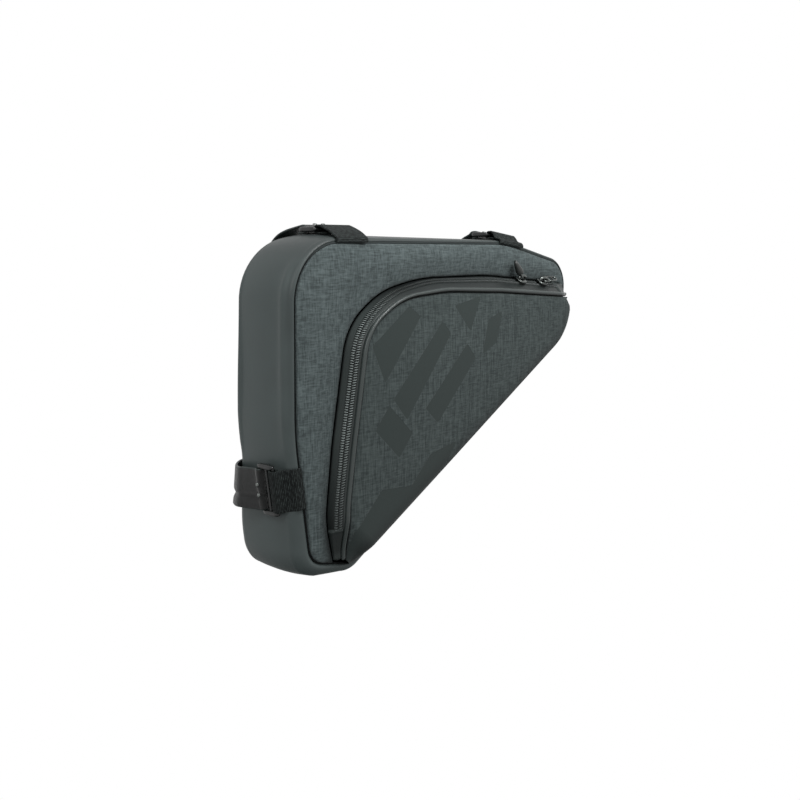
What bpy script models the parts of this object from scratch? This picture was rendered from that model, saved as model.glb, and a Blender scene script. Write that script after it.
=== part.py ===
"""Triangular frame bag for a bicycle, as separate sewn pieces.

Metres, +Z up. X runs from the seat tube end to the thin tip, the zipped side faces -Y.
The origin is on the top panel, where the frame's top tube rests, between the two top straps.
"""

import math
from collections import namedtuple

import bmesh
import bpy
from mathutils import Vector

# Body
LENGTH = 0.310
HEIGHT = 0.222
THICK_END = 0.057
THICK_TIP = 0.022
WALL = 0.002
SEW_GAP = 0.0003
ORIGIN_ALONG = 0.142

# Zipped pocket side
BAND_CROWN = 0.0028
BAND_FULL_SPAN = 0.025
CREASE_DEPTH = 0.0008
POCKET_RISE = 0.014
POCKET_BULGE = 0.0028
SHOULDER = 0.012
SHOULDER_FOOT = 0.0017
PIPING_RADIUS = 0.0017
TAPE_WALL = 0.0012
TAPE_BOW = 0.0006
SLANT_LIMIT = 0.35
FADE_FOOT = 0.032
FADE_TIP = 0.016
FADE_SHARE = 0.5

# Zip
COIL_WIDTH = 0.0064
COIL_THICK = 0.0012
STOP_LENGTH = 0.026
STOP_TIP_LENGTH = 0.014
STOP_THICK = 0.0011
STOP_MARGIN = 0.0012
SLIDER_LENGTH = 0.0105
SLIDER_WIDTH = 0.0088
SLIDER_TOP = 0.0016
SLIDER_LIP = 0.001
BRIDGE_WIDTH = 0.0018
BRIDGE_THICK = 0.0009
BRIDGE_SPAN = 0.0084
BRIDGE_RISE = 0.0034
BRIDGE_SINK = 0.0004
BRIDGE_FULLNESS = 0.6
PIN_HEIGHT = 0.0013
PULL_THICK = 0.0013
PULL_WIDTH = 0.0074
PULL_TIP_WIDTH = 0.0044
PULL_LENGTH = 0.0165
PULL_ARM = 0.0011
PULL_WINDOW = 0.0062
PULL_CHAMFER = 0.001
REAR_SLIDER_BACK = 0.0648
FRONT_SLIDER_BACK = 0.0353
REAR_PULL_ANGLE = 142.0
REAR_PULL_YAW = -32.0
FRONT_PULL_ANGLE = 8.0
FRONT_PULL_YAW = 0.0

# Straps
STRAP_WIDTH = 0.029
WEB_THICK = 0.0014
TAIL_THICK = 0.0016
TAIL_SEWN = (0.007, 0.011, 0.015)
BAR_WIDE = 0.0022
BAR_THICK = 0.0018
BAR_PITCH = 0.007
BUCKLE_RIM = 0.0028
BUCKLE_THICK = 0.0030
WRAP_RADIUS = 0.0025
LONG_FOLD = 0.0050
SHORT_FOLD = 0.0022
LEAD_RUN = 0.0032
LEAD_DROP = 0.0003
RIVET_RADIUS = 0.0016
RIVET_HEIGHT = 0.0010
RIVET_SPACING = 0.0075
RIVET_INSET = 0.0012
REAR_STRAP_ALONG = 0.0520
FRONT_STRAP_ALONG = 0.2325
END_STRAP_DOWN = 0.1610
TAPER_START = 0.7
TOP_BUCKLE_LIFT = 0.0009
END_BUCKLE_LIFT = 0.0018

# Where the coil's middle lies across the tape, from crease to piping, up the end and on top,
# and the shares of the rim's length over which it changes
COIL_SIDE_PLACE = 0.66
COIL_TOP_PLACE = 0.36
SWERVE_FROM = 0.36
SWERVE_OVER = 0.24
# Outline of a slider as (share of its length, share of its width)
SLIDER_OUTLINE = [(-0.5, 0.82), (-0.3, 1.0), (0.3, 1.0), (0.5, 0.82)]
# The front panel's swell is a sine's middle part, from and over these shares of half a turn
SWELL_FROM = 0.12
SWELL_OVER = 0.76
SWELL_EASE = 0.3

# The side seam's corners: places as shares of LENGTH and HEIGHT, radius as a share of HEIGHT.
# The rounded edge and the crown of the gusset beside each corner are shares of THICK_END.
Corner = namedtuple("Corner", "name along down radius edge crown")
SEAM = [
    Corner("end_bend", 0.000, 0.577, 0.900, 0.123, 0.026),
    Corner("end_top", 0.001, 0.000, 0.180, 0.065, 0.034),
    Corner("top_bend", 0.734, 0.006, 0.720, 0.046, 0.010),
    Corner("tip_top", 1.003, 0.088, 0.099, 0.044, 0.008),
    Corner("tip_low", 0.998, 0.340, 0.126, 0.052, 0.008),
    Corner("foot", 0.161, 0.999, 0.072, 0.088, 0.018),
    Corner("foot_end", 0.040, 0.964, 0.063, 0.152, 0.018),
]
# Where the side band and the front panel begin and end on that seam.
BAND_START = Corner("band_start", 0.098, 0.9805, 0.0, 0.0, 0.0)
BAND_STOP = Corner("band_stop", 1.0012, 0.158, 0.0, 0.0, 0.0)
POCKET_START = Corner("pocket_start", 0.142, 0.994, 0.0, 0.0, 0.0)
POCKET_STOP = Corner("pocket_stop", 1.001, 0.215, 0.0, 0.0, 0.0)

# The crease where the zip tape starts, and the piping at the pocket's rim, in the same shares.
CREASE = [
    Corner("foot", 0.108, 0.975, 0.0, 0.0, 0.0),
    Corner("low", 0.087, 0.842, 0.27, 0.0, 0.0),
    Corner("side", 0.108, 0.613, 0.90, 0.0, 0.0),
    Corner("shoulder", 0.169, 0.194, 0.16, 0.0, 0.0),
    Corner("top", 0.395, 0.115, 0.40, 0.0, 0.0),
    Corner("top_bend", 0.653, 0.116, 1.35, 0.0, 0.0),
    Corner("tip", 0.985, 0.154, 0.0, 0.0, 0.0),
]
PIPING = [
    Corner("foot", 0.116, 0.962, 0.0, 0.0, 0.0),
    Corner("low", 0.107, 0.811, 0.45, 0.0, 0.0),
    Corner("side", 0.129, 0.617, 1.35, 0.0, 0.0),
    Corner("shoulder", 0.189, 0.225, 0.11, 0.0, 0.0),
    Corner("top", 0.356, 0.151, 0.32, 0.0, 0.0),
    Corner("top_bend", 0.653, 0.168, 1.35, 0.0, 0.0),
    Corner("tip", 0.965, 0.196, 0.0, 0.0, 0.0),
]

# Strap loops: places across and out from the seam, as shares of the half thickness there.
Knot = namedtuple("Knot", "across out")
TOP_WEB = [Knot(0.74, 0.305)]
REAR_TAIL = [
    Knot(-0.92, 0.33), Knot(-1.32, 0.19), Knot(-1.62, -0.05), Knot(-1.62, -0.26),
    Knot(-1.38, -0.40),
]
FRONT_TAIL = [
    Knot(-1.00, 0.43), Knot(-1.34, 0.27), Knot(-1.62, 0.07), Knot(-1.74, -0.20),
    Knot(-1.56, -0.44),
]
TOP_BAR_ACROSS = 0.27
END_WEB = [Knot(0.77, 0.390)]
END_TAIL = [
    Knot(-0.38, 0.65), Knot(-0.60, 0.68), Knot(-0.85, 0.56), Knot(-1.10, 0.34),
    Knot(-1.27, 0.10), Knot(-1.29, -0.12),
]
END_BAR_ACROSS = 0.59

StrapShape = namedtuple("StrapShape", "web tail bar_across lift web_fold tail_fold")
Station = namedtuple("Station", "along up out_along out_up edge crown")
# Facets of an arc and of a straight run: fine round the gusset, plainer inside
FINE_ARC = 6
PLAIN_ARC = 4
RUN_STEPS = 4


def clear_scene():
    for thing in list(bpy.data.objects):
        bpy.data.objects.remove(thing, do_unlink=True)


def half_thickness(along):
    return (THICK_END + (THICK_TIP - THICK_END) * along / LENGTH) / 2


def top_crest(along):
    """Height of the top panel's crest above the seam, between its two corners."""
    first, last = SEAM[1], SEAM[2]
    share = (along / LENGTH - first.along) / (last.along - first.along)
    start = first.edge + first.crown
    stop = last.edge + last.crown
    return THICK_END * (start + (stop - start) * share)


ORIGIN_UP = top_crest(ORIGIN_ALONG)


def place(along, up, across):
    """A point of the bag: across is positive towards the zipped side."""
    return Vector((along - ORIGIN_ALONG, -across, up - ORIGIN_UP))


def raised(along, up, rise):
    """A point that stands rise proud of the zipped side's seam plane."""
    return place(along, up, half_thickness(along) + rise)


def corner_point(corner):
    return Vector((corner.along * LENGTH, -corner.down * HEIGHT))


def rounded_path(corners, closed=False, arc_steps=PLAIN_ARC, run_steps=RUN_STEPS, offset=0.0):
    """Stations along a polygon with rounded corners; offset moves them outwards."""
    points = [corner_point(c) for c in corners]
    count = len(points)
    arcs = []
    for i, corner in enumerate(corners):
        point = points[i]
        if not closed and i in (0, count - 1):
            other = points[1] if i == 0 else points[count - 2]
            way = (other - point).normalized() if i == 0 else (point - other).normalized()
            arcs.append([(point, Vector((-way.y, way.x)), corner)])
            continue
        before = (point - points[i - 1]).normalized()
        after = (points[(i + 1) % count] - point).normalized()
        turn = math.atan2(before.x * after.y - before.y * after.x, before.dot(after))
        radius = corner.radius * HEIGHT
        start = point - before * radius * math.tan(abs(turn) / 2)
        normal = Vector((-before.y, before.x))
        centre = start + normal * math.copysign(radius, turn)
        arc = []
        for k in range(arc_steps + 1):
            angle = turn * k / arc_steps
            cos, sin = math.cos(angle), math.sin(angle)
            spoke = start - centre
            spun = Vector((spoke.x * cos - spoke.y * sin, spoke.x * sin + spoke.y * cos))
            facing = Vector((normal.x * cos - normal.y * sin, normal.x * sin + normal.y * cos))
            arc.append((centre + spun, facing, corner))
        arcs.append(arc)
    stations = []
    for i, arc in enumerate(arcs):
        stations.extend(station(p, n, c.edge, c.crown, offset) for p, n, c in arc)
        if not closed and i == count - 1:
            break
        start_point, normal, start = arc[-1]
        stop_point, _, stop = arcs[(i + 1) % count][0]
        for k in range(1, run_steps):
            share = k / run_steps
            point = start_point.lerp(stop_point, share)
            edge = start.edge + (stop.edge - start.edge) * share
            crown = start.crown + (stop.crown - start.crown) * share
            stations.append(station(point, normal, edge, crown, offset))
    return stations


def station(point, normal, edge, crown, offset):
    moved = point + normal * offset
    return Station(moved.x, moved.y, normal.x, normal.y, edge * THICK_END, crown * THICK_END)


def path_lengths(stations):
    total = 0.0
    lengths = [0.0]
    for a, b in zip(stations, stations[1:]):
        total += math.hypot(b.along - a.along, b.up - a.up)
        lengths.append(total)
    return lengths


def resampled(stations, shares):
    """Points at given shares of a path's length."""
    lengths = path_lengths(stations)
    points = []
    for share in shares:
        goal = share * lengths[-1]
        k = max(i for i in range(len(lengths) - 1) if lengths[i] <= goal + 1e-12)
        a, b = stations[k], stations[k + 1]
        part = (goal - lengths[k]) / (lengths[k + 1] - lengths[k])
        points.append(Vector((a.along + (b.along - a.along) * part, a.up + (b.up - a.up) * part)))
    return points


def upper_corner(arc_steps):
    """The station in the middle of a path's third corner, its upper one."""
    return 3 * (RUN_STEPS + arc_steps) - arc_steps // 2


def matched(path, arc_steps, base):
    """Points of one path that pair with the stations of another, split at their upper corner."""
    ours, theirs = path_lengths(path), path_lengths(base)
    our_split = ours[upper_corner(arc_steps)] / ours[-1]
    their_split = theirs[upper_corner(PLAIN_ARC)] / theirs[-1]
    shares = []
    for length in theirs:
        share = length / theirs[-1]
        if share <= their_split:
            shares.append(share * our_split / their_split)
        else:
            shares.append(1 - (1 - share) * (1 - our_split) / (1 - their_split))
    return resampled(path, shares)


def smooth_step(value):
    value = min(max(value, 0.0), 1.0)
    return value * value * (3 - 2 * value)


def material(name, colour, roughness, metallic=0.0):
    made = bpy.data.materials.new(name)
    made.use_nodes = True
    shader = made.node_tree.nodes["Principled BSDF"]
    shader.inputs["Base Color"].default_value = (*colour, 1.0)
    shader.inputs["Roughness"].default_value = roughness
    shader.inputs["Metallic"].default_value = metallic
    return made


def add_object(name, mesh, finish):
    thing = bpy.data.objects.new(name, mesh)
    bpy.context.collection.objects.link(thing)
    mesh.materials.append(finish)
    return thing


def loft(name, rings, finish, closed=False, smooth_angle=40.0):
    """A solid skinned over rings with the same number of points, capped unless closed."""
    shape = bmesh.new()
    rows = [[shape.verts.new(p) for p in ring] for ring in rings]
    size = len(rows[0])
    pairs = list(zip(rows, rows[1:]))
    if closed:
        pairs.append((rows[-1], rows[0]))
    for a, b in pairs:
        for k in range(size):
            n = (k + 1) % size
            shape.faces.new((a[k], a[n], b[n], b[k]))
    if not closed:
        shape.faces.new(rows[0][::-1])
        shape.faces.new(rows[-1])
    bmesh.ops.recalc_face_normals(shape, faces=shape.faces)
    mesh = bpy.data.meshes.new(name)
    shape.to_mesh(mesh)
    shape.free()
    mesh.shade_smooth()
    mesh.set_sharp_from_angle(angle=math.radians(smooth_angle))
    return add_object(name, mesh, finish)


def walled(profile, wall):
    """A closed section: the profile's points, then the same points set in by the wall."""
    inner = []
    last = len(profile) - 1
    for i, point in enumerate(profile):
        way = profile[min(i + 1, last)] - profile[max(i - 1, 0)]
        way.normalize()
        inner.append(point - Vector((-way.y, way.x)) * wall)
    return list(profile) + inner[::-1]


def panel(name, starts, ends, profile, wall, finish):
    """A cloth panel between two edges: profile gives (distance across, rise) at each station."""
    rings = []
    for i, (a, b) in enumerate(zip(starts, ends)):
        span = (b - a).length
        way = (b - a) / span
        ring = []
        for distance, rise in walled(profile(i, span), wall):
            point = a + way * distance
            ring.append(raised(point.x, point.y, rise))
        rings.append(ring)
    return loft(name, rings, finish)


def plan(stations):
    return [Vector((s.along, s.up)) for s in stations]


def gusset_section(s, inset):
    """The strip's section from the near seam to the far one, as (across, out), set in by inset."""
    turns = 4
    spans = 4
    flat = half_thickness(s.along) - s.edge
    radius = s.edge - inset
    near = []
    for k in range(turns + 1):
        angle = math.pi / 2 * k / turns
        near.append(Vector((flat + radius * math.cos(angle), radius * math.sin(angle))))
    middle = []
    for k in range(1, spans):
        share = 1 - 2 * k / spans
        middle.append(Vector((flat * share, radius + s.crown * (1 - share ** 2))))
    return near + middle + [Vector((-p.x, p.y)) for p in near[::-1]]


def build_gusset(finish):
    """The coated strip round the whole edge, rounded over to both side seams."""
    rings = []
    for s in rounded_path(SEAM, closed=True, arc_steps=FINE_ARC):
        section = gusset_section(s, 0.0) + gusset_section(s, WALL)[::-1]
        rings.append([
            place(s.along + s.out_along * p.y, s.up + s.out_up * p.y, p.x) for p in section
        ])
    return loft("gusset", rings, finish, closed=True)


def build_far_panel(finish):
    """The flat side panel behind, edge to edge with the gusset's far seam."""
    edge = rounded_path(SEAM, closed=True, arc_steps=FINE_ARC, offset=-SEW_GAP)
    rings = []
    for inset in (0.0, WALL):
        rings.append([place(s.along, s.up, inset - half_thickness(s.along)) for s in edge])
    return loft("far_panel", rings, finish, smooth_angle=30.0)


def seam_corners(*names):
    rows = {c.name: c for c in SEAM}
    return [rows[n] for n in names]


def band_edge():
    names = seam_corners("foot_end", "end_bend", "end_top", "top_bend", "tip_top")
    edge = rounded_path([BAND_START] + names + [BAND_STOP], arc_steps=FINE_ARC, offset=-SEW_GAP)
    return matched(edge, FINE_ARC, rounded_path(CREASE))


def build_side_band(finish):
    """The heather strip from the seam to the crease, up the end and along the top."""
    def profile(_, span):
        steps = 5
        points = []
        crown = BAND_CROWN * min(1.0, span / BAND_FULL_SPAN)
        for k in range(steps + 1):
            share = k / steps
            rise = crown * math.sin(math.pi * share ** 0.8) - CREASE_DEPTH * share
            points.append(Vector((span * share, rise)))
        return points

    crease = plan(rounded_path(CREASE, offset=SEW_GAP))
    return panel("side_band", band_edge(), crease, profile, WALL, finish)


class PocketRim:
    """The foot and rim of the zip tape, station by station."""

    def __init__(self):
        base = rounded_path(CREASE)
        self.crease = plan(base)
        self.piping = matched(rounded_path(PIPING), PLAIN_ARC, base)
        lengths = self.lengths = [0.0]
        for a, b in zip(self.piping, self.piping[1:]):
            lengths.append(lengths[-1] + (b - a).length)
        self.rise = []
        for length in lengths:
            foot = smooth_step(length / FADE_FOOT)
            tip = smooth_step((lengths[-1] - length) / FADE_TIP)
            share = FADE_SHARE + (1 - FADE_SHARE) * min(foot, tip)
            self.rise.append(POCKET_RISE * share)

    def ends(self, i):
        """Foot and rim of the tape in (distance, rise), and how far it spans in plan."""
        span = (self.piping[i] - self.crease[i]).length
        foot = Vector((0.0, -CREASE_DEPTH))
        rim = Vector((span, self.rise[i]))
        way = (rim - foot).normalized()
        return foot, rim - way * (PIPING_RADIUS + SEW_GAP), way

    def point(self, i, share, lift=0.0):
        """A point on the tape's outer face, lifted off it."""
        foot, rim, way = self.ends(i)
        spot = foot.lerp(rim, share) + Vector((-way.y, way.x)) * (lift + self.bow(share))
        plan_way = (self.piping[i] - self.crease[i]).normalized()
        flat = self.crease[i] + plan_way * spot.x
        return raised(flat.x, flat.y, spot.y)

    @staticmethod
    def bow(share):
        return TAPE_BOW * 4 * share * (1 - share)

    def face_width(self, i):
        foot, rim, _ = self.ends(i)
        return (rim - foot).length

    def at_along(self, along):
        """Station, as a fraction, where the crease on the top run passes a place."""
        i = max(k for k in range(len(self.crease) - 1) if self.crease[k].x <= along)
        a, b = self.crease[i].x, self.crease[i + 1].x
        return i + (along - a) / (b - a)

    def coil_place(self, i):
        """Share of the tape's face where the coil's middle lies."""
        share = self.lengths[i] / self.lengths[-1]
        swerve = smooth_step((share - SWERVE_FROM) / SWERVE_OVER)
        return COIL_SIDE_PLACE + (COIL_TOP_PLACE - COIL_SIDE_PLACE) * swerve

    def frame(self, along):
        """The coil's middle at a place on the top run, with its along, across and out ways."""
        at = self.at_along(along)
        i = int(at)
        part = at - i
        start, stop = (self.point(k, self.coil_place(k)) for k in (i, i + 1))
        centre = start.lerp(stop, part)
        forward = (stop - start).normalized()
        across = (self.point(i, 0.0) - self.point(i, 1.0)).normalized()
        out = forward.cross(across).normalized()
        if out.y > 0:
            out = -out
        across = out.cross(forward).normalized()
        return centre, forward, across, out


def build_zip_tape(rim, finish):
    def profile(i, _):
        foot, top, way = rim.ends(i)
        side = Vector((-way.y, way.x))
        return [foot.lerp(top, k / 4) + side * rim.bow(k / 4) for k in range(5)]

    return panel("zip_tape", rim.crease, rim.piping, profile, TAPE_WALL, finish)


def build_zip_coil(rim, finish):
    """The zip's ribbed centre, between the two cloth stops."""
    lengths = [(rim.piping[i] - rim.piping[0]).length for i in range(len(rim.piping))]
    tip = [(rim.piping[i] - rim.piping[-1]).length for i in range(len(rim.piping))]
    inside = [
        i for i in range(len(rim.piping))
        if lengths[i] > STOP_LENGTH and tip[i] > STOP_TIP_LENGTH
    ]
    rings = []
    for i in inside:
        place_share = rim.coil_place(i)
        reach = COIL_WIDTH / 2 / rim.face_width(i)
        low, high = SEW_GAP, SEW_GAP + COIL_THICK
        rings.append([
            rim.point(i, place_share - reach, low),
            rim.point(i, place_share + reach, low),
            rim.point(i, place_share + reach, high),
            rim.point(i, place_share - reach, high),
        ])
    return loft("zip_coil", rings, finish)


def partial_ring(rim, at, margin, low, high):
    """A ring across the tape at a fractional station."""
    i = min(int(at), len(rim.piping) - 2)
    part = at - i
    ring = []
    shares = (0, 0.25, 0.5, 0.75, 1)
    for share, lift in [(v, low) for v in shares] + [(v, high) for v in shares[::-1]]:
        ends = []
        for k in (i, i + 1):
            edge = margin / rim.face_width(k)
            ends.append(rim.point(k, edge + share * (1 - 2 * edge), lift))
        ring.append(ends[0].lerp(ends[1], part))
    return ring


def station_at_length(rim, goal, from_tip=False):
    order = list(range(len(rim.piping)))
    if from_tip:
        order.reverse()
    total = 0.0
    for a, b in zip(order, order[1:]):
        step = (rim.piping[b] - rim.piping[a]).length
        if total + step >= goal:
            return a + (b - a) * (goal - total) / step
        total += step
    return order[-1]


def build_stop(name, rim, length, from_tip, finish):
    """The cloth patch sewn over an end of the zip."""
    steps = 5
    rings = []
    for k in range(steps + 1):
        at = station_at_length(rim, STOP_MARGIN + (length - 2 * STOP_MARGIN) * k / steps, from_tip)
        rings.append(partial_ring(rim, at, STOP_MARGIN, SEW_GAP, SEW_GAP + STOP_THICK))
    return loft(name, rings, finish)


def build_piping(rim, finish):
    """The cord in its cloth cover round the pocket's rim."""
    sides = 8
    rings = []
    for i, centre in enumerate(rim.piping):
        way = (rim.piping[i] - rim.crease[i]).normalized()
        ring = []
        for k in range(sides):
            angle = 2 * math.pi * k / sides
            flat = centre + way * math.cos(angle) * PIPING_RADIUS
            ring.append(raised(flat.x, flat.y, rim.rise[i] + math.sin(angle) * PIPING_RADIUS))
        rings.append(ring)
    return loft("rim_piping", rings, finish, smooth_angle=60.0)


def build_front_panel(rim, finish):
    """The bulging panel from the piping to the slanted seam, with a rounded shoulder there."""
    names = seam_corners("foot", "tip_low")
    lower = rounded_path([POCKET_START] + names + [POCKET_STOP], arc_steps=FINE_ARC,
                         run_steps=2 * RUN_STEPS, offset=SEW_GAP)
    ends = resampled(lower, [length / rim.lengths[-1] for length in rim.lengths])
    widest = max((b - a).length for a, b in zip(rim.piping, ends))
    last = len(ends) - 1

    def profile(i, span):
        way = (ends[i] - rim.piping[i]) / span
        tangent = rim.piping[min(i + 1, last)] - rim.piping[max(i - 1, 0)]
        slant = abs(way.cross(tangent.normalized()))
        start = (PIPING_RADIUS + SEW_GAP) / max(slant, SLANT_LIMIT)
        fold = min(SHOULDER, 0.5 * (span - start))
        flat = span - fold
        swell = POCKET_BULGE * math.sqrt(span / widest)
        points = []
        for k in range(6):
            share = k / 5
            turn = math.pi * (SWELL_FROM + SWELL_OVER * share)
            rise = rim.rise[i] + swell * math.sin(turn) * share ** SWELL_EASE
            points.append(Vector((start + (flat - start) * share, rise)))
        crest = points[-1].y
        for k in range(1, 4):
            angle = math.pi / 2 * k / 3
            drop = (crest + SHOULDER_FOOT) * (1 - math.cos(angle))
            points.append(Vector((flat + fold * math.sin(angle), crest - drop)))
        return points

    return panel("front_panel", rim.piping, ends, profile, WALL, finish)


def cutter(name, mesh):
    thing = bpy.data.objects.new(name, mesh)
    bpy.context.collection.objects.link(thing)
    thing.hide_render = True
    thing.display_type = "WIRE"
    return thing


def box_mesh(name, centre, ways, sizes):
    """A box from its centre, three unit ways and its size along each."""
    shape = bmesh.new()
    corners = {}
    for i in (-1, 1):
        for j in (-1, 1):
            for k in (-1, 1):
                spot = centre + sum(
                    (w * s * sign / 2 for w, s, sign in zip(ways, sizes, (i, j, k))), Vector()
                )
                corners[(i, j, k)] = shape.verts.new(spot)
    for axis in range(3):
        for side in (-1, 1):
            keys = [(-1, -1), (-1, 1), (1, 1), (1, -1)]
            face = []
            for pair in keys:
                key = list(pair)
                key.insert(axis, side)
                face.append(corners[tuple(key)])
            shape.faces.new(face)
    bmesh.ops.recalc_face_normals(shape, faces=shape.faces)
    mesh = bpy.data.meshes.new(name)
    shape.to_mesh(mesh)
    shape.free()
    return mesh


def combine(thing, other, operation):
    step = thing.modifiers.new(operation.lower(), "BOOLEAN")
    step.operation = operation
    step.solver = "EXACT"
    step.object = other


def build_slider(name, rim, along, finish):
    """A slider plate over the coil with side lips, and the bridge that holds the pull."""
    centre, forward, across, out = rim.frame(along)
    base = centre + out * (COIL_THICK + 2 * SEW_GAP)
    half = SLIDER_WIDTH / 2
    inner = COIL_WIDTH / 2 + SEW_GAP
    section = [
        (-half, SLIDER_TOP), (half, SLIDER_TOP), (half, -SLIDER_LIP), (inner, -SLIDER_LIP),
        (inner, 0.0), (-inner, 0.0), (-inner, -SLIDER_LIP), (-half, -SLIDER_LIP),
    ]
    rings = []
    for reach, squeeze in SLIDER_OUTLINE:
        ring = []
        for side, lift in section:
            limit = side * squeeze if abs(side) == half else side
            ring.append(base + forward * SLIDER_LENGTH * reach + across * limit + out * lift)
        rings.append(ring)
    body = loft(name, rings, finish, smooth_angle=30.0)
    arch = []
    steps = 8
    for k in range(steps + 1):
        angle = math.pi * k / steps
        reach = -math.cos(angle) * BRIDGE_SPAN / 2
        arch_height = math.sin(angle) ** BRIDGE_FULLNESS
        lift = SLIDER_TOP - BRIDGE_SINK + arch_height * (BRIDGE_RISE + BRIDGE_SINK)
        way = Vector((-math.cos(angle), math.sin(angle))).normalized()
        ring = []
        for side, depth in ((-0.5, 0), (0.5, 0), (0.5, 1), (-0.5, 1)):
            spot = Vector((reach, lift)) - way * BRIDGE_THICK * depth
            ring.append(base + forward * spot.x + out * spot.y + across * BRIDGE_WIDTH * side)
        arch.append(ring)
    bridge = loft(name + "_bridge", arch, finish)
    bridge.hide_render = True
    bridge.display_type = "WIRE"
    combine(body, bridge, "UNION")
    return base + out * (SLIDER_TOP + PIN_HEIGHT), forward, across, out


def yawed(hinge, yaw):
    """The hinge of a pull that stands askew under its bridge, turned about the out way."""
    pin, forward, across, out = hinge
    cos, sin = math.cos(math.radians(yaw)), math.sin(math.radians(yaw))
    return pin, forward * cos + across * sin, across * cos - forward * sin, out


def build_pull(name, hinge, angle, finish):
    """A tapered pull: its pin passes under the bridge and two arms carry the tab."""
    pin, forward, across, out = hinge
    turn = math.radians(angle)
    way = forward * math.cos(turn) + out * math.sin(turn)
    lift = across.cross(way).normalized()
    half = PULL_WIDTH / 2
    tip = PULL_TIP_WIDTH / 2
    side = [
        (-PULL_ARM / 2, half), (PULL_WINDOW, half), (PULL_WINDOW + PULL_CHAMFER, half - PULL_CHAMFER),
        (PULL_LENGTH - PULL_CHAMFER, tip), (PULL_LENGTH, tip - PULL_CHAMFER),
    ]
    outline = side + [(a, -b) for a, b in side[::-1]]
    rings = []
    for side in (-0.5, 0.5):
        rings.append([pin + way * a + across * b + lift * PULL_THICK * side for a, b in outline])
    tab = loft(name, rings, finish, smooth_angle=30.0)
    room = PULL_WINDOW - PULL_ARM
    centre = pin + way * (PULL_ARM / 2 + room / 2)
    window = box_mesh(name + "_window", centre, (way, across, lift),
                      (room, PULL_WIDTH - 2 * PULL_ARM, PULL_THICK * 2))
    combine(tab, cutter(name + "_window", window), "DIFFERENCE")


class StrapFrame:
    """Where a strap crosses the edge: out is away from the bag, side along the seam."""

    def __init__(self, at):
        self.base = Vector((at.along, at.up))
        self.out_way = Vector((at.out_along, at.out_up))
        self.side_way = Vector((at.out_up, -at.out_along))
        self.half = half_thickness(at.along)
        self.edge = at.edge
        self.crown = at.crown

    def point(self, across, out, side):
        """A strap point, which follows the taper of the side panels where it nears them."""
        flat = self.base + self.out_way * out + self.side_way * side
        near = smooth_step((abs(across) / self.half - TAPER_START) / (1 - TAPER_START))
        shift = (half_thickness(flat.x) - self.half) * near
        return place(flat.x, flat.y, across + math.copysign(shift, across))

    def knots(self, rows):
        return [Vector((k.across * self.half, k.out * self.half)) for k in rows]


def curve_through(points, steps=3):
    """Catmull-Rom points through chosen ones."""
    padded = [points[0] * 2 - points[1]] + points + [points[-1] * 2 - points[-2]]
    made = []
    for i in range(1, len(padded) - 2):
        a, b, c, d = padded[i - 1:i + 3]
        for k in range(steps):
            t = k / steps
            made.append(
                (b * 2 + (c - a) * t + (a * 2 - b * 5 + c * 4 - d) * t * t
                 + (b * 3 - a - c * 3 + d) * t * t * t) / 2
            )
    made.append(points[-1])
    return made


def ribbon(name, frame, centre_line, thick, finish, width=None):
    """A flat strap along a line in the (across, out) plane of its frame."""
    width = width or STRAP_WIDTH
    rings = []
    last = len(centre_line) - 1
    for i, point in enumerate(centre_line):
        before = (point - centre_line[max(i - 1, 0)])
        after = (centre_line[min(i + 1, last)] - point)
        way = (before.normalized() + after.normalized()) if 0 < i < last else before + after
        way.normalize()
        normal = Vector((-way.y, way.x)) * thick / 2
        a, b = point + normal, point - normal
        rings.append([
            frame.point(a.x, a.y, -width / 2), frame.point(a.x, a.y, width / 2),
            frame.point(b.x, b.y, width / 2), frame.point(b.x, b.y, -width / 2),
        ])
    return loft(name, rings, finish, smooth_angle=35.0)


def wrap(bar, tangent, towards, tail):
    """Half a turn round a buckle bar, from its outer side to its inner side."""
    steps = 6
    out = Vector((0.0, 1.0))
    points = []
    for k in range(steps + 1):
        angle = math.pi * k / steps
        points.append(bar + out * WRAP_RADIUS * math.cos(angle) + tangent * WRAP_RADIUS * math.sin(angle))
    points.append(points[-1] + towards * tail)
    return points


def build_buckle(name, frame, near_bar, finish):
    """A three-bar buckle frame that both strap ends are looped through."""
    length = 2 * BAR_PITCH + BAR_WIDE
    side = STRAP_WIDTH + 2 * SEW_GAP
    far = Vector((-1.0, 0.0))
    middle = near_bar + far * BAR_PITCH
    origin = frame.point(middle.x, middle.y, 0.0)
    across_way = (frame.point(middle.x + 1, middle.y, 0.0) - origin).normalized()
    out_way = (frame.point(middle.x, middle.y + 1, 0.0) - origin).normalized()
    side_way = (frame.point(middle.x, middle.y, 1.0) - origin).normalized()
    ways = (across_way, side_way, out_way)
    body = box_mesh(name, origin, ways, (length, side + 2 * BUCKLE_RIM, BUCKLE_THICK))
    frame_piece = add_object(name, body, finish)
    window = BAR_PITCH - BAR_WIDE
    for sign in (-1, 1):
        centre = origin + across_way * sign * BAR_PITCH / 2
        hole = box_mesh(f"{name}_hole", centre, ways, (window, side - SEW_GAP, BUCKLE_THICK * 2))
        combine(frame_piece, cutter(f"{name}_window", hole), "DIFFERENCE")
    shave = (BUCKLE_THICK - BAR_THICK) / 2
    for sign in (-1, 1):
        centre = origin + out_way * sign * (BAR_THICK / 2 + shave)
        flat = box_mesh(f"{name}_flat", centre, ways, (length * 2, side, shave * 2))
        combine(frame_piece, cutter(f"{name}_shave", flat), "DIFFERENCE")
    return frame_piece


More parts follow.
